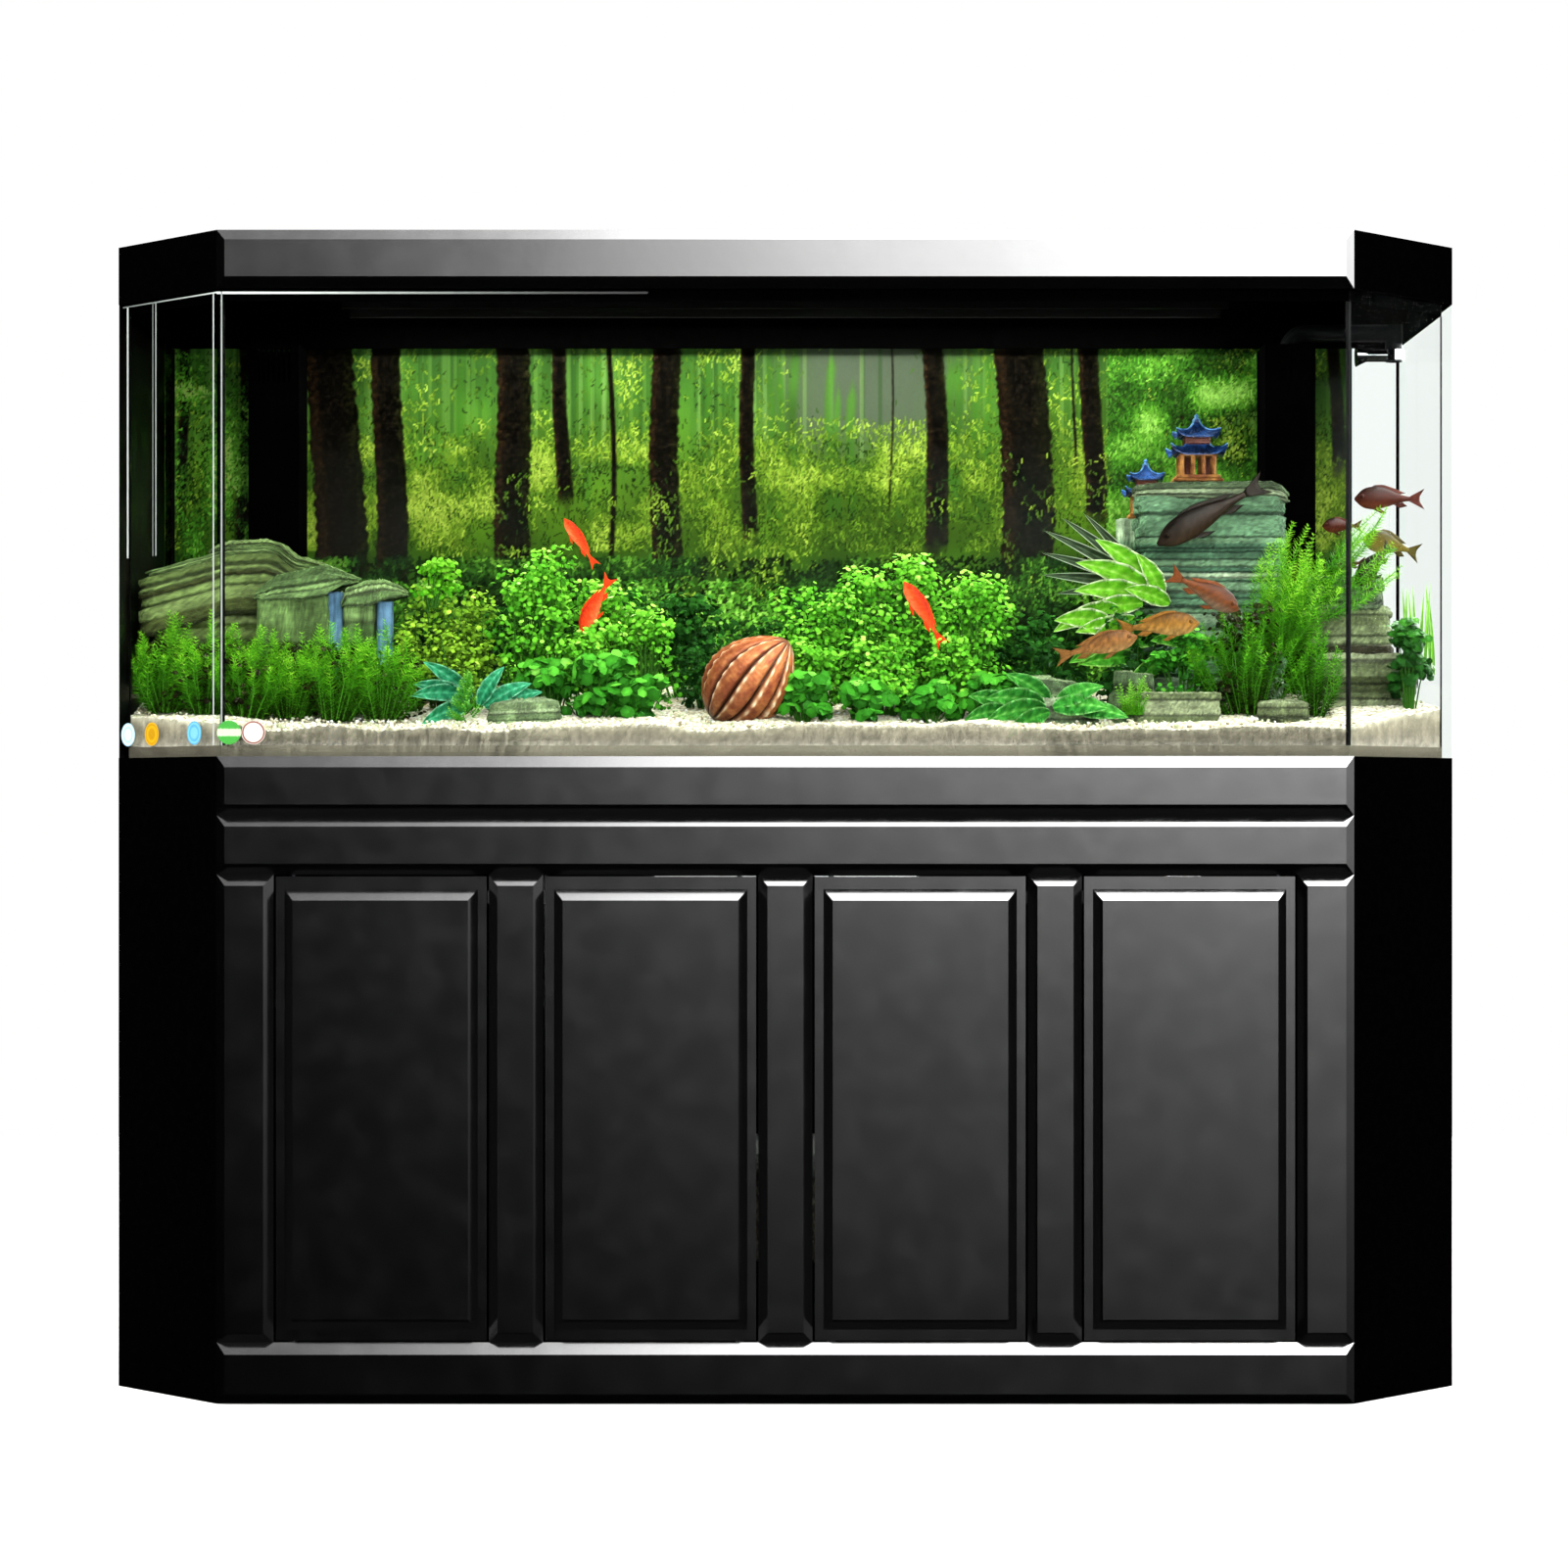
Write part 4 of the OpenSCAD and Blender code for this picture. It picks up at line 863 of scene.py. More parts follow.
def rocks():
    rng = np.random.default_rng(21)
    mat = tinted("rock", 0.8, 0.2, 150, 0.1, bump=0.0011, bump_scale=520,
                 stretch=(0.5, 0.5, 1.7))

    # The factor moss darkens a stone and turns it greener: painted shade.
    def rock(name, *blocks, hides=(), moss=(1, 1, 1)):
        verts, faces, tint = join(blocks)
        keep_inside(verts)
        piece(name, verts, faces, [mat], hides=hides, tint=tint * moss, smooth=False)

    def stone(*place, **shape):
        return strata_rock(rng, *place, **shape)

    base = GLASS_TOP / MM
    ledge = [(-745, 924), (-734, 928), (-708, 934), (-653, 949), (-636, 955), (-592, 957),
             (-578, 953), (-560, 938), (-530, 932), (-505, 912)]

    def lowered(line, drop):
        return [(x, z - drop) for x, z in line]

    # The left ledge is darkened through moss, as painted shade.
    rock("left_ledge",
         stone(-626, 12, 204, 74, base, 884, OLIVE_STONE, 12, ledges=0.03),
         stone(-627, 12, 224, 88, 0, 0, BROWN_SAGE, 6, ledges=0.02, power=6,
               top=lowered(ledge, 17), foot=lowered(ledge, 84)),
         stone(-624, 12, 216, 80, 0, 0, SAGE, 4, ledges=0.02, power=6,
               top=lowered(ledge, 9), foot=lowered(ledge, 19)),
         stone(-600, 12, 122, 64, 0, 0, SAGE, 3, ledges=0.03, power=5,
               top=ledge, foot=lowered(ledge, 11)),
         hides=("rocks",), moss=(0.65, 0.76, 0.46))
    hut_roof = [(-600, 893), (-573, 912), (-548, 917), (-518, 924), (-500, 917), (-481, 909)]
    hut_eave = [(-600, 887), (-585, 884), (-540, 886), (-518, 889), (-500, 900), (-481, 905)]
    low_roof = [(-500, 882), (-494, 896), (-470, 905), (-451, 906), (-436, 900), (-424, 893)]
    low_eave = [(-500, 876), (-470, 876), (-450, 883), (-436, 887), (-424, 889)]
    # The stone hut is darkened through moss, as painted shade.
    rock("stone_hut",
         stone(-558, -52, 78, 42, base, 889, SLATE, 8, ledges=0.015, power=7),
         stone(-541, -56, 118, 54, 0, 0, SAGE, 4, ledges=0.02, top=hut_roof,
               foot=hut_eave, power=3.5),
         stone(-480, -66, 36, 38, base, 879, SLATE, 6, ledges=0.015, power=7),
         stone(-462, -70, 74, 50, 0, 0, SAGE, 3, ledges=0.02, top=low_roof,
               foot=low_eave, power=3.5), moss=(0.65, 0.8, 0.5))
    blue = finish("hut_window", "5c7f9c", 0.5, vary=0.2, scale=120, second="38576f",
                  second_scale=40, Specular_IOR_Level=0.2)
    verts, faces, _ = join([stone(x, y, 17, 20, base, z, SLATE, 3, ledges=0.01)
                            for x, y, z in ((-509, -58, 893), (-452, -70, 882))])
    piece("hut_windows", verts, faces, [blue], smooth=False)
    rock("striped_stone",
         stone(-288, -150, 98, 46, base, 766, SLATE, 8, taper=0.3, crown=5,
               tilt=0.05, power=2.5))
    rock("flat_rocks",
         stone(300, -130, 100, 50, base, 772, SAGE, 5, taper=0.1, tilt=0.03),
         stone(296, -128, 92, 44, 770, 791, SLATE, 3, taper=0.35, tilt=-0.08,
               crown=3),
         stone(388, -118, 60, 40, base, 800, SLATE, 4, taper=0.3, tilt=-0.1),
         stone(434, -136, 104, 34, base, 777, OLIVE_STONE, 6, taper=0.06),
         stone(555, -120, 70, 40, base, 766, OLIVE_STONE, 5, taper=0.2, crown=4))
    rock("great_slab",
         stone(494, 62, 166, 84, base, 1010, TEAL_STONE, 34, ledges=0.007,
               taper=-0.03, power=6, wave=0.012),
         stone(495, 62, 172, 88, 0, 0, SAGE, 4, ledges=0.012, power=6, wave=0.012,
               foot=[(400, 1008), (590, 1004)],
               top=[(405, 1024), (470, 1026), (560, 1027), (572, 1024), (585, 1014)]))
    rock("back_ledge", stone(426, 131, 60, 42, base, 991, TEAL_STONE, 12))
    rock("right_stack",
         stone(663, -2, 122, 74, base, 826, OLIVE_STONE, 11, ledges=0.06),
         stone(646, 0, 102, 70, 822, 880, BROWN_SAGE, 6, ledges=0.05),
         stone(641, -2, 90, 66, 876, 913, SAGE, 4, ledges=0.05, taper=0.12))


# ---- Pagodas ----

def flared_roof(z0, half, top_half, rise):
    """Square roof whose eaves curve out and whose corners turn up, as a closed shell."""
    across, steps = 17, 9
    rings = []
    for layer in (0, 1):
        for k in range(steps) if layer == 0 else range(steps - 1, -1, -1):
            t = k / (steps - 1)
            r = half + (top_half - half) * (1 - (1 - t) ** 1.9)
            edge = np.linspace(-1, 1, across)[:-1]
            one = np.ones_like(edge)
            square = np.concatenate([np.stack(pair, -1) for pair in (
                (edge, -one), (one, edge), (-edge, one), (-one, -edge))])
            corner = np.abs(square[:, 0] * square[:, 1])
            lift = corner ** 5 * (1 - t) ** 2 * half * 0.34
            tiles = 0.012 * half * np.cos(np.arange(len(square)) * math.pi) * (1 - 0.5 * t)
            z = z0 + rise * t ** 1.15 + lift - (1.6 if layer else 0) + tiles * (layer == 0)
            out = r * (1 + 0.1 * corner ** 6 * (1 - t) ** 2)
            rings.append(np.stack([square[:, 0] * out, square[:, 1] * out, z], -1))
    rings.append(rings[0])
    return np.concatenate(rings), grid_faces(len(rings), 4 * (across - 1), True)


def tube(points, radii, sides=12):
    """Round rod through points, closed at both ends."""
    points = np.asarray(points, float)
    radii = np.broadcast_to(radii, (len(points),))
    along = unit(np.gradient(points, axis=0))
    pick = np.where(np.abs(along[:, 2:3]) > 0.9, [[1.0, 0, 0]], [[0, 0, 1.0]])
    side = unit(np.cross(along, pick))
    other = np.cross(along, side)
    a = circle(sides)
    ring = (side[:, None] * np.cos(a)[None, :, None] + other[:, None] * np.sin(a)[None, :, None])
    verts = points[:, None] + ring * radii[:, None, None]
    verts = np.concatenate([verts.reshape(-1, 3), points[:1], points[-1:]])
    n = len(points) * sides
    k = np.arange(sides)
    start = np.stack([(k + 1) % sides, k, np.full(sides, n)], -1)
    end = np.stack([k + n - sides, (k + 1) % sides + n - sides, np.full(sides, n + 1)], -1)
    return verts, [grid_faces(len(points), sides, True), start, end]


def block(x0, x1, y0, y1, z0, z1, round_by=1.0):
    """Box with its edges cut off."""
    c = round_by
    rings = []
    for z, inset in ((z0, c), (z0 + c, 0), (z1 - c, 0), (z1, c)):
        a0, a1, b0, b1 = x0 + inset, x1 - inset, y0 + inset, y1 - inset
        rings.append([(a0 + c, b0, z), (a1 - c, b0, z), (a1, b0 + c, z), (a1, b1 - c, z),
                      (a1 - c, b1, z), (a0 + c, b1, z), (a0, b1 - c, z), (a0, b0 + c, z)])
    verts = np.array(rings, float).reshape(-1, 3)
    return verts, [grid_faces(4, 8, True), np.arange(8)[None, ::-1], np.arange(24, 32)[None]]


def pagoda(name, x, y, z, width, height, mats, hides=()):
    """Pagoda with a stepped clay base, an open hall on posts and two glazed roofs, in mm."""
    w = width / 2
    clay, blue, ridge, dark = 0, 1, 2, 3
    parts, kinds = [], []

    def add(part, kind):
        verts, faces = part
        blocks = faces if isinstance(faces, list) else [faces]
        parts.append((verts, blocks, (1, 1, 1)))
        kinds.extend([kind] * sum(len(f) for f in blocks))

    b = height * 0.07
    add(block(-w * 0.95, w * 0.95, -w * 0.95, w * 0.95, 0, b * 0.6), clay)
    add(block(-w * 0.85, w * 0.85, -w * 0.85, w * 0.85, b * 0.6, b * 1.3), clay)
    hall = height * 0.27
    for px in (-0.62, -0.2, 0.2, 0.62):
        for py in (-0.62, 0.62):
            add(tube([(px * w, py * w, b), (px * w, py * w, b + hall)], w * 0.09), clay)
    for px in (-0.62, 0.62):
        add(tube([(px * w, 0, b), (px * w, 0, b + hall)], w * 0.09), clay)
    add(block(-w * 0.6, -w * 0.22, w * 0.3, w * 0.6, b, b + hall, 0.5), dark)
    add(block(w * 0.22, w * 0.6, w * 0.3, w * 0.6, b, b + hall, 0.5), dark)
    add(block(-w * 0.72, w * 0.72, -w * 0.72, w * 0.72, b + hall, b + hall + 2.4, 0.7), clay)
    level = b + hall + 2
    for half, top, rise in ((w * 1.0, w * 0.45, height * 0.17),
                            (w * 0.78, w * 0.1, height * 0.24)):
        add(flared_roof(level, half, top, rise), blue)
        for cx in (-1, 1):
            for cy in (-1, 1):
                t = np.linspace(0, 1, 10)
                r = half * 1.08 + (top - half * 1.08) * (1 - (1 - t) ** 1.9)
                zz = level + rise * t ** 1.15 + (1 - t) ** 4 * half * 0.36 + 0.6
                add(tube(np.stack([cx * r, cy * r, zz], -1), height * 0.011, 8), ridge)
        level += rise - 1
        if top > w * 0.3:
            add(block(-w * 0.5, w * 0.5, -w * 0.5, w * 0.5, level - 2, level + height * 0.1), dark)
            level += height * 0.08
    knob = [(0, 0, level - 2), (0, 0, level + 1), (0, 0, level + 3.2), (0, 0, level + 5),
            (0, 0, level + 7.5)]
    add(tube(knob, [1.6, 3.0, 2.0, 2.6, 0.5]), ridge)
    verts, faces, _ = join(parts)
    verts = (verts + [x, y, z]) * MM
    piece(name, verts, faces, mats, hides=hides, smooth=False, mat_of=kinds)


def pagodas():
    clay = finish("pagoda_clay", "a8743c", 0.6, vary=0.3, scale=170, second="6a3a1c",
                  second_scale=70, bump=0.0003, bump_scale=700, Specular_IOR_Level=0.2)
    blue = finish("pagoda_glaze", "1a3868", 0.3, vary=0.35, scale=160, second="0b1c3c",
                  second_scale=90, bump=0.0003, bump_scale=500, Specular_IOR_Level=0.15)
    ridge = finish("pagoda_ridge", "5a8ab4", 0.3, vary=0.25, scale=200, second="2c5688",
                   second_scale=120, Specular_IOR_Level=0.2)
    dark = finish("pagoda_shade", "4a1d10", 0.7, vary=0.3, scale=200)
    mats = [clay, blue, ridge, dark]
    pagoda("great_pagoda", 478, 58, 1028, 60, 88, mats, ("pagodas",))
    pagoda("small_pagoda", 426, 131, 991, 48, 78, mats)


# ---- Shell ----

def shell():
    """Ribbed sea shell on its side: broad ribs run from its tip to its mouth, with pale crests
    and dark grooves."""
    rng = np.random.default_rng(31)
    along, around = 90, 260
    t = np.linspace(0, 1, along)[:, None]
    a = circle(around)[None, :]
    length = 122.0
    profile = np.sin(t ** 0.85 * math.pi) ** 0.62
    ribs = 12
    twist = a + 0.5 * (t - 0.5)
    phase = (twist * ribs / (2 * math.pi)) % 1.0
    crest = np.exp(-((phase - 0.5) / 0.33) ** 4)
    groove = np.exp(-((np.minimum(phase, 1 - phase)) / 0.085) ** 2)
    edge = np.exp(-((phase - 0.19) / 0.075) ** 2)
    scallop = 0.5 + 0.5 * np.sin(t * 58 + 3 * np.sin(phase * 6))
    radius = 46 * profile * (1 + 0.04 * crest - 0.12 * groove + 0.05 * edge * scallop
                             + 0.006 * np.sin(t * 160))
    x = radius * np.cos(a)
    y = radius * np.sin(a) * 0.92
    z = (t - 0.5) * length + 0 * a
    streak = smooth_noise(rng, (along, around), 5)
    fine = smooth_noise(rng, (along, around), 2)
    tone = ramp(np.clip(0.25 + 0.5 * streak + 0.25 * fine, 0, 1),
                [(0, "4a1c10"), (0.35, "74341c"), (0.6, "8f4c28"), (0.85, "a86638"),
                 (1, "c08a60")])
    cream, brown = np.array([0.96, 0.86, 0.72]), np.array([0.16, 0.06, 0.03])
    pale = np.clip(edge * (0.35 + 0.75 * scallop) * (0.6 + 0.6 * streak), 0, 1)[..., None]
    tone = tone + (cream - tone) * pale
    tone = tone + (brown - tone) * np.clip(groove * 1.1, 0, 1)[..., None]
    end = np.clip((np.abs(t - 0.5) - 0.42) / 0.08, 0, 1)[..., None]
    tone = tone * (1 - 0.5 * end) * (0.62 + 0.5 * t[..., None])
    verts = np.stack([x, y, z], -1).reshape(-1, 3)
    # Long axis from the lower left at the front to the upper right at the back
    tilt, turn = math.radians(46), math.radians(-14)
    rx = verts[:, 0] * math.cos(tilt) + verts[:, 2] * math.sin(tilt)
    rz = -verts[:, 0] * math.sin(tilt) + verts[:, 2] * math.cos(tilt)
    ry = verts[:, 1]
    verts = np.stack([rx * math.cos(turn) - ry * math.sin(turn),
                      rx * math.sin(turn) + ry * math.cos(turn), rz], -1)
    verts = verts + [-39, -134, 792]
    verts[:, 2] = np.maximum(verts[:, 2], GLASS_TOP / MM + 2)
    mat = tinted("shell", 0.45, 0.15, 180, 0.15, bump=0.0005, bump_scale=300)
    piece("shell_ribbed", verts * MM, [grid_faces(along, around, True)], [mat],
          hides=("shell",), tint=painted(tone))


# ---- Fish ----

def fish_mesh(length, height, thin):
    """Lofted fish along +X with its head at +X: body, tail, back fin and belly fins. Returns
    verts, faces, and marks whose first number is 1 on the body and 2 on the fins."""
    along, around = 34, 20
    tail, dorsal = 0.2, 0.25
    t = np.linspace(0, 1, along)
    # Depth of the body from tail root to snout
    deep = np.interp(t, [0, 0.08, 0.25, 0.45, 0.65, 0.82, 0.93, 1.0],
                     [0.20, 0.22, 0.45, 0.82, 1.0, 0.86, 0.52, 0.04])
    deep = np.convolve(np.pad(deep, 2, "edge"), [0.1, 0.2, 0.4, 0.2, 0.1], "valid")
    a = circle(around)
    root = -length * 0.5 + length * tail
    x = root + t * (length * 0.5 - root)
    half = height / 2 * deep
    arch = height * 0.04 * np.sin(t * math.pi)
    body = np.stack([
        np.repeat(x[:, None], around, 1),
        half[:, None] * thin * np.cos(a)[None],
        arch[:, None] + half[:, None] * np.sin(a)[None] * np.where(np.sin(a) < 0, 0.95, 1.0)],
        -1)
    verts = np.concatenate([body.reshape(-1, 3), [[x[0] - 0.5, 0, 0]], [[x[-1] + 0.3, 0, 0]]])
    n = along * around
    k = np.arange(around)
    faces = [grid_faces(along, around, True)[:, ::-1],
             np.stack([k, (k + 1) % around, np.full(around, n)], -1),
             np.stack([(k + 1) % around + n - around, k + n - around,
                       np.full(around, n + 1)], -1)]
    parts = [(verts, faces, (1.0, 0, 0))]

    def fin(base, tips, thick):
        """Flat fin between a row of base points and a row of tip points, with rays."""
        rows, many = 5, 15
        b, e = (np.stack([np.interp(np.linspace(0, 1, many), np.linspace(0, 1, len(line)), part)
                          for part in zip(*line)], -1) for line in (base, tips))
        f = np.linspace(0, 1, rows)[:, None, None]
        flat = b[None] + (e - b)[None] * f
        w = thick * (1 - 0.7 * f[..., 0]) * (1 + 0.35 * np.cos(np.arange(many) * math.pi))[None]
        faces = [np.stack([flat[..., 0], y, flat[..., 1]], -1).reshape(-1, 3)
                 for y in (-w / 2, w / 2)]
        parts.append((np.concatenate(faces), sheet_faces(rows, many), (2.0, 0, 0)))

    h = height / 2
    tip = -length * 0.5
    fork = tip + length * tail * 0.35
    fin([(root + 1, -h * 0.2), (root + 1, h * 0.2)],
        [(tip, -h * 0.85), (fork, -h * 0.2), (fork, h * 0.2), (tip, h * 0.85)], height * 0.06)
    top = lambda s: (x[0] + s * (x[-1] - x[0]),
                     np.interp(s, t, half + arch) * 0.9)
    fin([top(s) for s in (0.2, 0.4, 0.6, 0.75)],
        [(px - length * 0.05, pz + h * dorsal * (0.6 + s)) for s, (px, pz) in
         ((0.0, top(0.15)), (0.3, top(0.35)), (0.5, top(0.55)), (0.3, top(0.7)))],
        height * 0.05)
    low = lambda s: (x[0] + s * (x[-1] - x[0]), -np.interp(s, t, half) * 0.85)
    for base, tips, back, drop in (((0.15, 0.3), (0.12, 0.25), 0.05, 0.35),
                                   ((0.55, 0.68), (0.52, 0.6), 0.07, 0.4)):
        fin([low(s) for s in base], [(px - length * back, pz - h * drop)
                                     for px, pz in map(low, tips)], height * 0.05)
    return join(parts)


# Kinds of fish: back, side, belly and fin colours, and how thick they are for their height
RED_FISH = ("a82810", "e03c14", "ea6a3c", "d23410", 0.55)
ORANGE_FISH = ("2c1408", "542a10", "5c4c3c", "5a2c10", 0.5)
GOLD_FISH = ("4c3010", "785220", "8c6c3c", "704a1a", 0.5)
TAN_FISH = ("4c3018", "6e4824", "86643c", "64421e", 0.5)
DARK_FISH = ("0e0a07", "1e1610", "302418", "140e08", 0.42)
OLIVE_FISH = ("2a2408", "5c5018", "7c7438", "3c340e", 0.5)
RUST_FISH = ("180806", "34140c", "542818", "3a140a", 0.5)

# Place, length, height, heading and climb of each fish in mm and degrees, its kind, and the foot
# of its rod: a height, 0 for the gravel, or None for the face of the slab behind it
FISH = [("red_fish_1", (-229, -112, 946), 65, 14, 180, -56, RED_FISH, 0),
        ("red_fish_2", (-212, -98, 879), 72, 20, 180, 62, RED_FISH, 0),
        ("red_fish_3", (155, -116, 866), 85, 19, 180, -58, RED_FISH, 0),
        ("orange_fish", (463, -146, 890), 88, 28, 0, -28, ORANGE_FISH, 0),
        ("gold_fish", (412, -150, 851), 92, 28, 0, 4, GOLD_FISH, 0),
        ("tan_fish", (342, -172, 827), 94, 26, 0, 14, TAN_FISH, 0),
        ("brown_fish_1", (692, -8, 1004), 80, 28, 180, 0, RUST_FISH, 914),
        ("olive_fish", (698, 14, 952), 68, 28, 180, -15, OLIVE_FISH, 914),
        ("black_fish", (668, -52, 926), 62, 24, 180, 50, DARK_FISH, 0),
        ("brown_fish_2", (636, -22, 972), 46, 18, 180, 0, RUST_FISH, 914),
        ("brown_fish_3", (648, 6, 930), 40, 16, 180, 8, RUST_FISH, 914),
        ("great_fish", (489, -7, 988), 145, 34, 180, 30, DARK_FISH, None)]


def place_fish(name, place, length, height, heading, climb, kind, mats, hides=()):
    verts, faces, mark = fish_mesh(length, height, kind[4])
    rng = np.random.default_rng(len(name) * 7 + int(length))
    back, side, belly, fins = (colour(c) for c in kind[:4])
    up = np.clip(verts[:, 2] / (height / 2), -1, 1)[:, None]
    tone = np.where(up > 0, side + (back - side) * np.clip(up * 1.3, 0, 1),
                    side + (belly - side) * np.clip(-up * 1.4, 0, 1))
    scale_rows = 0.82 + 0.3 * (np.sin(verts[:, :1] * 2.2 + np.round(up * 6) * 1.6) > -0.2)
    tone = tone * scale_rows * rng.uniform(0.65, 1.35, (len(verts), 1))
    tone = np.where(mark[:, :1] > 1.5, fins * rng.uniform(0.6, 1.3, (len(verts), 1)), tone)
    eye_x = length * 0.4
    eyes = []
    for s in (-1, 1):
        centre = np.array([eye_x, s * height * kind[4] * 0.5 * 0.58, height * 0.1])
        eyes.append((*ball_mesh(centre, height * 0.075), colour("050505")))
        rim = centre - np.array([0, s * height * 0.012, 0])
        eyes.append((*ball_mesh(rim, height * 0.1), side * 0.6))
    verts, faces, tone = join([(verts, faces, tone)] + eyes)
    # Climb turns the fish up about Y, then heading turns it about Z
    c, s = math.cos(math.radians(climb)), math.sin(math.radians(climb))
    flip = -1 if heading == 180 else 1
    px = verts[:, 0] * flip
    verts = np.stack([px * c - verts[:, 2] * s, verts[:, 1] * flip,
                      px * s + verts[:, 2] * c], -1) + place
    piece(name, verts * MM, faces, mats, hides=hides, tint=tone)


def fish():
    skin = tinted("fish_skin", 0.42, 0.15, 300, 0.06, bump=0.0003, bump_scale=900)
    hides = ("fish",)
    rods = []
    for name, place, length, height, heading, climb, kind, foot in FISH:
        place_fish(name, place, length, height, heading, climb, kind, [skin], hides)
        hides = ()
        x, y, z = place
        if foot is None:
            ends = [place, (x, y + 31, z)]
        else:
            ends = [(x, y, foot or bed_z(y * MM) / MM - 6), place]
        rods.append((*tube(ends, 0.75, 8), (1, 1, 1)))
    verts, faces, _ = join(rods)
    clear = bpy.data.materials.get("tank_glass")
    piece("fish_rods", verts * MM, faces, [clear])


# ---- Plants ----

LENS = np.array([(math.cos(a), math.sin(a) * 0.86, 0.0) for a in circle(6)]
                + [(0.1, 0, 0.16), (0.1, 0, -0.06)])
NEEDLE = np.array([(-0.5, -0.29, 0), (0.5, -0.29, 0), (0, 0.58, 0), (0, 0, 1.0)])
NEEDLE_FACES = np.array([(0, 1, 3), (1, 2, 3), (2, 0, 3), (2, 1, 0)])

BRIGHT = [(0, "22560f"), (0.35, "52a222"), (0.65, "84d43c"), (0.88, "b6ec68"), (1, "e0fab0")]
MID = [(0, "143e0a"), (0.4, "2e761a"), (0.75, "58ae32"), (1, "9ad860")]
SHADE = [(0, "0a2408"), (0.4, "163f0e"), (0.75, "2c641c"), (1, "58902e")]
MOSS = [(0, "3a5a12"), (0.4, "6c9a22"), (0.75, "a0c83e"), (1, "d2ec74")]
FEATHER = [(0, "140f05"), (0.2, "1d3008"), (0.45, "2c6a0c"), (0.68, "4c9c16"),
           (0.86, "78c820"), (1, "acea44")]
# Very dark greens for leaves that stand for the shade at the feet of bushes.
UNDERGROWTH_SHADE = [(0, "080703"), (0.4, "141405"), (0.75, "1e3008"), (1, "34580f")]
LIME = [(0, "36800f"), (0.4, "5aa41c"), (0.75, "84c43c"), (1, "c0e488")]


def leaf_mound(rng, x, y, radius, low, high, count, size, tones, clumps=9, shade=0.55):
    """Dome of small leaves in pairs of clumps round thin stems; leaves inside and below are
    darker."""
    clumps *= 2
    t = rng.random(clumps) ** 0.8
    a = rng.uniform(0, 2 * math.pi, clumps)
    r = radius * 0.85 * np.sqrt(rng.random(clumps)) * (1 - 0.35 * t)
    centre = np.stack([x + r * np.cos(a), y + r * np.sin(a) * 0.7,
                       low + (high - low) * (0.1 + 0.8 * t)], -1)
    pick = rng.integers(0, clumps, count)
    out = unit(rng.normal(size=(count, 3)))
    reach = rng.random(count) ** 0.45
    spread_by = np.array([radius * 0.4, radius * 0.36, (high - low) * 0.14])
    place = centre[pick] + out * spread_by * reach[:, None]
    place[:, 2] = np.clip(place[:, 2], low + 2, high)
    normal = unit(out * 0.6 + rng.normal(0, 0.45, (count, 3)) + [0, -0.55, 0.75])
    # Leaves inside the dome, low down and facing down are painted darker as painted shade; leaves
    # out on top are painted lighter as painted light.
    light = 0.12 + 0.5 * reach * (0.5 + 0.5 * out[:, 2]) + 0.25 * (place[:, 2] - low) / (
        high - low) + rng.normal(0, 0.14, count)
    light = np.clip(light - shade * 0.2, 0, 1)
    sizes = rng.uniform(size[0], size[1], count)
    verts, faces = scatter(LENS, HEX_FACES, place * MM, frames(normal, rng), sizes * MM)
    tint = np.repeat(srgb_to_linear(ramp(light, tones)), len(LENS), 0)
    # On each leaf the raised middle is painted brighter as a painted highlight, and the back
    # darker as painted shade.
    tint = tint * np.tile([0.85] * 6 + [1.2, 0.8], count)[:, None]
    parts = [(verts, faces, tint)]
    for c in centre:
        foot = np.array([x + (c[0] - x) * 0.3, y + (c[1] - y) * 0.3, low - 4])
        bend = (foot + c) / 2 + [0, 0, 6]
        parts.append((*tube(np.array([foot, bend, c]) * MM, [1.1 * MM, 0.9 * MM, 0.5 * MM], 6),
                      colour("2e5a1a")))
    return parts


def plume(rng, foot, tip, width, tones, whorl=3.6, bright=0.0):
    """Feathery stem: whorls of seven fine needles from its foot to its tip, in mm."""
    needles = 7
    foot, tip = np.array(foot, float), np.array(tip, float)
    length = np.linalg.norm(tip - foot)
    count = max(4, int(length / whorl))
    t = np.linspace(0.06, 1, count)
    sag = np.sin(t * math.pi)[:, None] * rng.normal(0, 0.06, 3) * length
    line = foot + (tip - foot) * t[:, None] + sag
    along = unit(np.gradient(line, axis=0))
    place = np.repeat(line, needles, 0)
    heading = np.repeat(along, needles, 0)
    out = unit(np.cross(heading, unit(rng.normal(size=heading.shape))))
    direction = unit(out + heading * rng.uniform(0.3, 0.9, (len(out), 1)))
    side = unit(np.cross(direction, heading))
    axes = np.stack([side, np.cross(direction, side), direction], -1)
    profile = np.interp(np.repeat(t, needles), [0, 0.25, 0.75, 1], [0.7, 1.0, 0.85, 0.35])
    size = width * profile * rng.uniform(0.75, 1.15, len(out))
    sizes = np.stack([np.full(len(out), 0.55), np.full(len(out), 0.55), size], -1)
    verts, faces = scatter(NEEDLE, NEEDLE_FACES, place * MM, axes, sizes * MM)
    # Needles are painted lighter towards the tip of the stem and dark at its foot, as painted
    # light and shade.
    light = np.clip(0.1 + bright + 0.68 * np.repeat(t, needles) + rng.normal(
        0, 0.13, len(out)), 0, 1)
    tone = srgb_to_linear(ramp(light, tones))
    # The point of each needle is painted lighter and its foot darker: painted highlight and shade.
    tint = np.repeat(tone, 4, 0) * np.tile([0.75, 0.75, 0.75, 1.25], len(out))[:, None]
    stem = tube(line[[0, count // 2, -1]] * MM, [0.8 * MM, 0.6 * MM, 0.3 * MM], 5)
    return [(verts, faces, tint), (*stem, colour("3f7a1c"))]


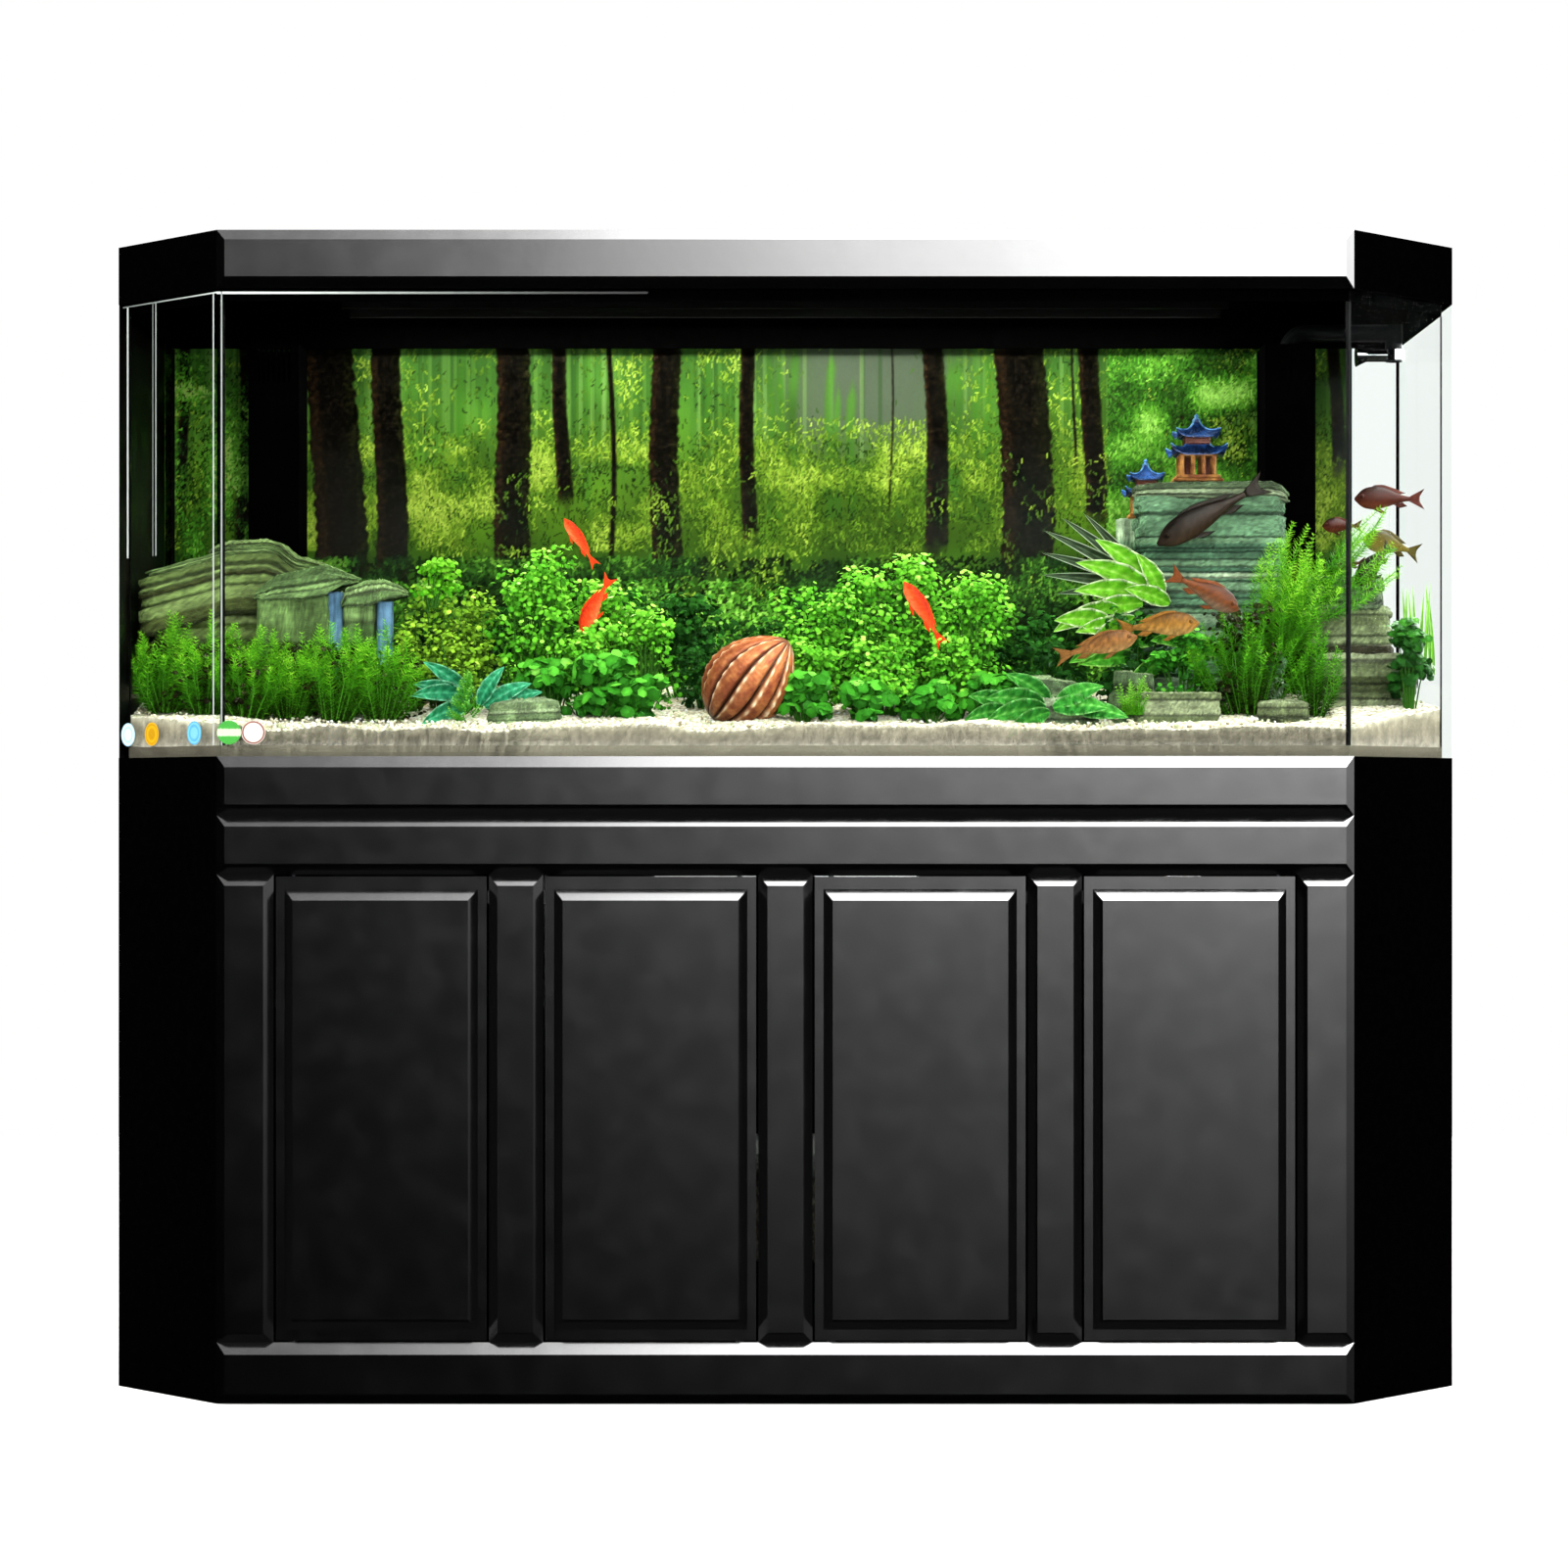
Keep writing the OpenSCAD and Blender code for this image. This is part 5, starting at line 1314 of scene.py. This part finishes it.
def feather_bush(rng, x, y, radius, low, high, stems, width, tones=FEATHER, bright=0.0, lean=0):
    parts = []
    for _ in range(stems):
        a = rng.uniform(0, 2 * math.pi)
        r = radius * math.sqrt(rng.random())
        rise = 1 - 0.45 * (r / radius) ** 2
        foot = (x + 0.35 * r * math.cos(a), y + 0.35 * r * math.sin(a), low - 3)
        tip = (x + lean + 1.15 * r * math.cos(a), y + 0.9 * r * math.sin(a),
               low + (high - low) * rise * rng.uniform(0.62, 1.0))
        parts += plume(rng, foot, tip, width, tones, bright=bright + 0.12 * rng.random())
    return parts


def blade(base, angle, length, width, tones, bend=0.25, toward=0.2, ruffle=0.0, edge=None):
    """Pointed leaf that grows from base at an angle in the upright plane, bends down towards its
    tip and leans towards the front. It is a thin closed solid with a midrib, in mm."""
    rows, cols = 22, 9
    t = np.linspace(0, 1, rows)[:, None]
    s = np.linspace(-1, 1, cols)[None, :]
    half = width / 2 * np.sin(np.clip(t * 0.97 + 0.03, 0, 1) ** 0.75 * math.pi) ** 0.85
    angle = math.radians(angle)
    turn = angle - np.sign(math.cos(angle)) * bend * t * 1.6
    step = length / (rows - 1)
    cx = np.cumsum(np.cos(turn) * step, 0) - np.cos(turn[0]) * step
    cz = np.cumsum(np.sin(turn) * step, 0) - np.sin(turn[0]) * step
    cy = -toward * length * t ** 1.3
    nx, nz = -np.sin(turn), np.cos(turn)
    wave = ruffle * np.sin(t * 26 + s * 2) * np.abs(s) ** 2 * half * 0.5
    lift = 0.25 * np.abs(s) * half + wave
    # The leaf's flat lies between the upright plane and the view from the front
    x = cx + nx * s * half * 0.8
    y = cy - lift * 0.9 + s * half * 0.35
    z = cz + nz * s * half * 0.8
    top = np.stack([x, y, z], -1)
    thick = 0.5 * (1 - np.abs(s) ** 4) + 0.08
    under = top + np.stack([x * 0, thick + x * 0, x * 0], -1)
    verts = np.concatenate([top, under]).reshape(-1, 3) + base
    rib = np.exp(-(s / 0.14) ** 2) * 0.8
    veins = 0.12 * np.sin(t * 40 + np.abs(s) * 5)
    # Besides the leaf's own paler midrib and veins, the blade is painted lighter towards one edge,
    # as painted light, and lighter towards its tip.
    light = np.clip(0.35 + 0.25 * t + veins + 0.35 * rib + 0.12 * s, 0, 1)
    tone = ramp(light, tones)
    if edge is not None:
        pale = (np.abs(s) ** 10)[..., None] + 0 * t[..., None]
        tone = tone + (screen_colour(edge) - tone) * pale
    # The back face is painted darker than the front, as painted shade.
    return verts * MM, sheet_faces(rows, cols), painted(np.concatenate([tone, tone * 0.8]))


def leaves(rows, tones, **look):
    """Blades from rows of x, y, z, angle, length and width."""
    return [blade(np.array(row[:3], float), *row[3:], tones, **look) for row in rows]


def plants():
    mat = tinted("plant_leaf", 0.5, 0.15, 140, 0.03)
    hides = ["plants"]

    def plant(name, parts):
        verts, faces, tint = join(parts)
        keep_inside(verts)
        piece(name, verts, faces, [mat], hides=tuple(hides), tint=tint,
              smooth=False)
        hides.clear()

    def ground(y):
        return bed_z(y * MM) / MM - 3

    def mounds(rows, above, times, size, tones, **look):
        """Mounds from rows of x, y, radius, height of the top and number of leaves."""
        made = []
        for x, y, r, high, count in rows:
            made += leaf_mound(rng, x, y, r, ground(y) + above, high, int(count * times), size,
                               tones, **look)
        return made

    rng = np.random.default_rng(41)
    # Feathery bushes at the left, over very dark leaves that hide their feet as painted shade
    for k, group in enumerate((((-702, -60, 40, 880, 46), (-650, -92, 46, 874, 50)),
                               ((-598, -122, 48, 868, 52), (-552, -112, 44, 872, 48)),
                               ((-500, -134, 48, 866, 52), (-448, -132, 44, 860, 46)))):
        parts = []
        for x, y, r, high, stems in group:
            parts += feather_bush(rng, x, y, r, ground(y), high, stems, 13.5, lean=6)
            parts += leaf_mound(rng, x, y + 12, r + 8, ground(y), high - 34, 420, (2.6, 4.6),
                                UNDERGROWTH_SHADE, clumps=8)
        plant(f"hornwort_{k + 1}", parts)
    # Feathery bush that climbs over the stones at the right
    parts = feather_bush(rng, 520, -92, 62, ground(-92), 905, 60, 13, bright=-0.12)
    # Very dark leaves round its feet, as painted shade.
    parts += leaf_mound(rng, 520, -84, 60, ground(-84), 880, 500, (2.6, 4.6), UNDERGROWTH_SHADE)
    plant("hornwort_5", parts)
    parts = feather_bush(rng, 556, -84, 44, 820, 985, 40, 13.5, bright=0.12, lean=20)
    for foot, tip in (((600, -80, 895), (672, -62, 990)), ((606, -84, 880), (652, -70, 955)),
                      ((600, -90, 860), (690, -92, 918)), ((590, -86, 900), (664, -70, 968)),
                      ((596, -80, 880), (680, -80, 944))):
        for k in range(3):
            shift = rng.normal(0, 4, 3)
            parts += plume(rng, foot, np.array(tip) + shift, 12, FEATHER, bright=0.2)
    parts += feather_bush(rng, 592, -98, 34, ground(-98), 868, 26, 12, bright=-0.1)
    plant("hornwort_6", parts)
    # Small round leaves in the middle
    bushes = [("left", [(-300, -40, 46, 925, 620), (-262, -52, 52, 945, 900),
                        (-196, -48, 50, 918, 820), (-160, -58, 44, 880, 520),
                        (-225, -96, 54, 862, 800)]),
              ("right", [(20, -48, 48, 905, 720), (86, -40, 54, 925, 900),
                         (150, -42, 54, 938, 950), (214, -52, 52, 918, 820),
                         (110, -98, 56, 850, 760), (30, -90, 44, 842, 520),
                         (196, -96, 48, 850, 560)])]
    for side, group in bushes:
        plant(f"small_leaf_bush_{side}", mounds(group, 4, 1.5, (2.2, 4.2), BRIGHT, clumps=14))
    # Larger round leaves at their feet
    carpet = [(-262, -128, 46, 815, 190), (-205, -138, 44, 822, 200), (-160, -128, 34, 800, 120),
              (20, -138, 36, 800, 130), (90, -146, 40, 790, 140), (160, -140, 40, 792, 140),
              (228, -132, 40, 800, 130)]
    plant("round_leaf_carpet", mounds(carpet, 3, 1.4, (5.0, 9.5), MID, clumps=10))
    # Olive moss over the stones at the left
    moss = [(-392, -52, 48, 908, 800), (-352, -40, 44, 918, 700), (-420, -72, 34, 868, 420),
            (-370, -100, 40, 850, 500)]
    parts = mounds(moss, 4, 1, (1.8, 3.8), MOSS, clumps=12, shade=0.8)
    parts += leaf_mound(rng, -400, -70, 44, 880, 930, 420, (2.0, 4.2), LIME, clumps=6)
    plant("olive_moss", parts)
    # Dark bushes at the back fill the gaps
    dark = [(-120, 60, 74, 900, 900), (-30, 80, 66, 872, 700), (60, 90, 70, 905, 800),
            (220, 90, 74, 900, 900), (300, 70, 60, 880, 600), (-300, 90, 70, 912, 800),
            (-410, 60, 66, 880, 700), (-90, -30, 50, 850, 500), (290, -30, 44, 850, 500),
            (-210, 60, 70, 915, 700)]
    plant("back_bushes", mounds(dark, 3, 1, (2.6, 5.0), SHADE, clumps=12, shade=0.9))
    # Fuzzy cone plant and its low neighbour
    parts = []
    for k in range(40):
        a, h = rng.uniform(0, 2 * math.pi), rng.random()
        r = 24 * (1 - h)
        foot = (-352 + 0.3 * r * math.cos(a), -158 + 0.3 * r * math.sin(a), 742 + 50 * h)
        tip = (-352 + r * math.cos(a), -158 + r * math.sin(a) * 0.8, 752 + 56 * h)
        parts += plume(rng, foot, tip, 6, MID, whorl=2.4, bright=0.2)
    plant("cone_plant", parts)
    parts = []
    for k in range(26):
        a = rng.uniform(0, 2 * math.pi)
        r = 26 * math.sqrt(rng.random())
        foot = (386 + 0.4 * r * math.cos(a), -150, 752)
        tip = (386 + r * math.cos(a), -150 + 0.6 * r * math.sin(a), 765 + 30 * rng.random())
        parts += plume(rng, foot, tip, 7, LIME, whorl=2.6)
    plant("lime_tuft", parts)
    # Broad leaves
    fan = [(424, 10, 905, 128, 88, 31), (420, 6, 900, 146, 94, 31), (415, 2, 893, 162, 86, 31),
           (410, -2, 885, 179, 78, 29), (380, -6, 880, 187, 80, 29), (400, -8, 868, 201, 70, 27),
           (396, -10, 858, 172, 66, 27), (432, -4, 893, 108, 58, 25),
           (372, -14, 862, 164, 66, 29), (440, -8, 884, 148, 56, 26)]
    low_fan = [(380, -20, 838, 190, 62, 26), (440, -24, 848, 182, 72, 28),
               (476, -28, 840, 168, 62, 26), (452, -30, 824, 194, 72, 28),
               (400, -26, 822, 176, 66, 26), (500, -30, 826, 160, 60, 24)]
    plant("broad_leaf_lime", leaves(fan, LIME, bend=0.3, toward=0.14, ruffle=0.8, edge="eef8cc")
          + leaves(low_fan, MID, ruffle=0.5, edge="a8e070"))
    parts = leaf_mound(rng, 400, -20, 52, ground(-20) + 6, 880, 420, (3.0, 6.0), SHADE, clumps=9)
    parts += leaf_mound(rng, 450, -66, 46, ground(-66) + 6, 858, 520, (2.6, 5.0), MID, clumps=9)
    plant("leaf_filling", parts)
    slim = [(147, 142, 17), (137, 132, 16), (168, 128, 18), (157, 134, 17), (127, 118, 15),
            (178, 110, 16)]
    dark_leaf = [(0, "141c10"), (0.5, "2c3a28"), (1, "66765c")]
    plant("slim_leaves", leaves([(424, 34 + 2 * k, 904, *row) for k, row in enumerate(slim)],
                                dark_leaf, bend=0.1, toward=0.0, edge="c8d4bc"))
    teal = [(0, "0c3c28"), (0.4, "1a6844"), (0.75, "3c9a6c"), (1, "84ccac")]
    low_left = [(-352, -128, 770, 150, 64, 26), (-356, -132, 776, 168, 60, 24),
                (-350, -130, 772, 128, 66, 24), (-350, -136, 764, 188, 58, 24),
                (-340, -138, 764, 70, 52, 22), (-334, -140, 762, 40, 60, 24),
                (-330, -142, 760, 18, 64, 24), (-318, -144, 764, 30, 52, 22)]
    plant("teal_leaves", leaves(low_left, teal, bend=0.3, toward=0.25, ruffle=0.8,
                                edge="7cc49c"))
    deep = [(0, "0f3f12"), (0.4, "246a22"), (0.75, "4a9a36"), (1, "94cc74")]
    low_right = [(286, -152, 764, 158, 66, 30), (288, -156, 760, 176, 70, 30),
                 (292, -150, 768, 132, 58, 26), (296, -158, 760, 16, 62, 30),
                 (300, -154, 764, 38, 56, 28), (292, -160, 756, 194, 58, 26),
                 (320, -156, 758, 8, 60, 26), (250, -150, 762, 150, 50, 26),
                 (246, -156, 758, 178, 52, 24)]
    plant("deep_green_leaves", leaves(low_right, deep, bend=0.35, toward=0.22, ruffle=0.9,
                                      edge="70b060"))
    # Reeds and dark leaves in the right corner
    reeds = [(702 + 4 * k, -56 + 10 * math.sin(k * 2.3), 800, 90 + 3 * math.sin(k),
              100 + 8 * math.sin(k * 3), 5) for k in range(9)]
    plant("reeds", leaves(reeds, LIME, bend=0.02, toward=0.0, edge="f4fbe0"))
    parts = leaf_mound(rng, 706, -66, 30, ground(-66) + 3, 868, 420, (4.0, 7.5), SHADE,
                       clumps=10, shade=0.3)
    plant("corner_leaves", parts)


# ---- Small things ----

CORNER_SUM = 835.0      # half width plus depth, in mm, all along the outside of a cut corner


def glass_edges():
    """Painted highlights on arrises: along the top of the left and front glass, and by the seams.
    """
    front = FRONT_GLASS_Y / MM
    lift = 0.25
    top = TANK_TOP / MM - 3.6
    low = GLASS_TOP / MM
    parts = []

    def strip(ends, heights, tones, out):
        """Flat bar between two places (x, y) and two heights, whose tone goes from end to end."""
        steps = 60
        f = np.linspace(0, 1, steps)[:, None]
        line = np.array(ends[0]) + (np.array(ends[1]) - np.array(ends[0])) * f
        rows = []
        for z, push in ((heights[0], 0), (heights[0], lift), (heights[1], lift), (heights[1], 0)):
            rows.append(np.concatenate([line + np.array(out) * push, np.full((steps, 1), z)], 1))
        tint = ramp(f[:, 0], tones)
        ring = np.stack(rows, 1)
        n = 4 * steps
        caps = np.array([[0, 1, 2, 3], [n - 1, n - 2, n - 3, n - 4]])
        parts.append((ring.reshape(-1, 3) * MM, [grid_faces(steps, 4, True), caps],
                      srgb_to_linear(np.repeat(tint, 4, 0))))

    slant = (-math.sqrt(0.5), -math.sqrt(0.5))
    edge_x = CORNER_SUM + front
    # The strip along the top of the front glass is a painted highlight, bright at the left and
    # fading to black to the right.
    strip(((-edge_x, front), (-150, front)), (top - 2.4, top), [(0, "e0e6e2"), (0.35, "8a908c"),
          (0.8, "2a2c2a"), (1, "0a0a0a")], (0, -1))
    strip(((-744, 744 - CORNER_SUM), (-edge_x, front)), (top - 1.4, top), [(0, "5a605c"),
          (1, "b4bab6")], slant)
    strip(((-edge_x + 4.5, front), (-edge_x + 6.2, front)), (low, top), [(0, "7c827e"),
          (1, "7c827e")], (0, -1))
    for x0, x1, tone in ((-edge_x - 3.4, -edge_x - 4.8, "a0a6a2"), (-736.5, -738.5, "a0a6a2"),
                         (-703, -704.2, "5c625e"), (-699, -700.2, "868c88")):
        strip(((x1, -CORNER_SUM - x1), (x0, -CORNER_SUM - x0)), (low if x0 > -690 else 930, top),
              [(0, tone), (1, tone)], slant)
    verts, faces, tint = join(parts)
    mat = tinted("painted_arris_highlight", 0.35, 0.1, 90, 0.1)
    piece("painted_arris_highlights", verts, faces, [mat], tint=tint, smooth=False)


def stickers():
    """Five plain round stickers: rings and bands of colour, with nothing printed on them."""
    rng = np.random.default_rng(3)
    looks = [("94bccc", "c4d4d8"), ("c49410", "a87c0c"), ("4c94b8", "6cacc8"),
             ("348030", "a8c498"), ("c4c0b8", "6c3c30")]
    radius = 13.0
    xs = [-737, -705, -649, -606.5, -580]
    parts = []
    rings, around = 14, 48
    r = np.linspace(0.02, 1, rings)[:, None] * radius
    a = circle(around)[None]
    for k, (x, look) in enumerate(zip(xs, looks)):
        main, extra = (colour(c) for c in look)
        u, v = r * np.cos(a), r * np.sin(a)
        if k == 4:
            second = np.abs(r - radius * 0.88) < radius * 0.07
        elif k == 3:
            second = np.abs(v) < radius * 0.3
        else:
            second = (r < radius * 0.5) | (np.abs(r - radius * 0.82) < radius * 0.05)
        second = np.broadcast_to(second, u.shape)
        tone = np.where(second[..., None], extra, main) * rng.uniform(0.94, 1.06, u.shape + (1,))
        on_corner = k < 3
        turn = -math.pi / 4 if on_corner else 0.0
        y0 = -(CORNER_SUM + x) if on_corner else FRONT_GLASS_Y / MM
        out = np.array([math.sin(turn), -math.cos(turn)])
        layers = []
        for lift in (0.28, 0.0):
            px = x + u * math.cos(turn) + out[0] * lift
            py = y0 + u * math.sin(turn) + out[1] * lift
            layers.append(np.stack([px, py, 732 + v], -1))
        shut = layers[1][-1:]
        verts = np.concatenate([layers[0], shut]).reshape(-1, 3) * MM
        tint = np.concatenate([tone, tone[-1:]]).reshape(-1, 3)
        hub = np.arange(around)[None]
        parts.append((verts, [grid_faces(rings + 1, around, True)[:, ::-1], hub], tint))
    verts, faces, tint = join(parts)
    mat = tinted("sticker", 0.35, 0.06, 500, 0.15)
    piece("sticker_discs", verts, faces, [mat], hides=("round_stickers",),
          tint=tint, smooth=False)


def soft_block(rng, low, high, power, rough):
    """Block with soft rounded edges between two corners, and a rough surface."""
    rows, cols = 70, 140
    lat = np.linspace(-math.pi / 2, math.pi / 2, rows)[:, None]
    lon = circle(cols)[None]
    d = np.stack([np.cos(lat) * np.cos(lon), np.cos(lat) * np.sin(lon),
                  np.sin(lat) + 0 * lon], -1)
    d = d / (np.abs(d) ** power).sum(-1, keepdims=True) ** (1 / power)
    low, high = np.array(low), np.array(high)
    half, middle = (high - low) / 2, (high + low) / 2
    scale = 1 - rough * rng.random((rows, cols, 1))
    return (middle + d * half * scale).reshape(-1, 3), grid_faces(rows, cols, True)


def filter_blocks():
    """Coarse black sponge, a layer of ceramic rings and a pad of white wool, from below."""
    rng = np.random.default_rng(51)
    low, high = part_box("filter_media")
    top = high.z - low.z
    sponge_z, rings_z = low.z + top * 0.46, low.z + top * 0.87
    sponge = finish("filter_sponge", "17191d", 0.95, vary=0.3, scale=400, second="0d0e11",
                    second_scale=60, bump=0.002, bump_scale=380, Specular_IOR_Level=0.05)
    wool = finish("filter_wool", "e9e9e2", 0.95, vary=0.12, scale=300, bump=0.002,
                  bump_scale=260, Specular_IOR_Level=0.05)
    for name, mat, z0, z1, power, rough, hides in (
            ("filter_sponge", sponge, low.z, sponge_z, 12, 0.02, ("filter_media",)),
            ("filter_wool", wool, rings_z, high.z, 7, 0.05, ())):
        verts, faces = soft_block(rng, (low.x, low.y, z0), (high.x, high.y, z1), power, rough)
        piece(name, verts, [faces], [mat], hides=hides)
    clay = finish("ceramic_rings", "d9cdb8", 0.9, vary=0.15, scale=300, bump=0.0004,
                  bump_scale=900)
    sides = 10
    a = circle(sides)
    outer, inner, half = 6.5, 3.2, 7.5
    ring = np.concatenate([np.stack([r * np.cos(a), r * np.sin(a), np.full(sides, z)], -1)
                           for r, z in ((outer, -half), (outer, half), (inner, half),
                                        (inner, -half), (outer, -half))])
    faces = grid_faces(5, sides, True)
    gap = 15.5 * MM
    axes = [np.arange(start, stop, gap) for start, stop in (
        (low.x + 10 * MM, high.x - 9 * MM), (low.y + 10 * MM, high.y - 9 * MM),
        (sponge_z + 9 * MM, rings_z - 7 * MM))]
    grid = np.stack(np.meshgrid(*axes, indexing="ij"), -1).reshape(-1, 3)
    grid[:, :2] += rng.uniform(-1, 1, (len(grid), 2)) * 1.5 * MM
    axes = frames(unit(rng.normal(size=grid.shape)), rng)
    verts, faces = scatter(ring * MM, faces, grid, axes, np.full(len(grid), 0.95))
    piece("ceramic_rings", verts, [faces], [clay], smooth=False)


def foam_mat():
    """Thin foam sheet under the tank, with rounded edges."""
    source = NODES["levelling_mat"]
    made = bpy.data.objects.new("foam_mat", source.data.copy())
    bpy.context.scene.collection.objects.link(made)
    made.data.materials.clear()
    made.data.materials.append(finish("foam_mat", "6b6e70", 0.95, vary=0.15, scale=300,
                                      bump=0.0006, bump_scale=700, Specular_IOR_Level=0.05))
    weld = made.modifiers.new("weld", "WELD")
    weld.merge_threshold = 0.00001
    edges = made.modifiers.new("soft_edges", "BEVEL")
    edges.width = 1.4 * MM
    edges.segments = 3
    edges.limit_method = "ANGLE"
    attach(made, "stand")
    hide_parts("levelling_mat")


make_camera()
studio()
dress_cad()
background()
gravel()
rocks()
pagodas()
shell()
fish()
plants()
stickers()
glass_edges()
filter_blocks()
foam_mat()
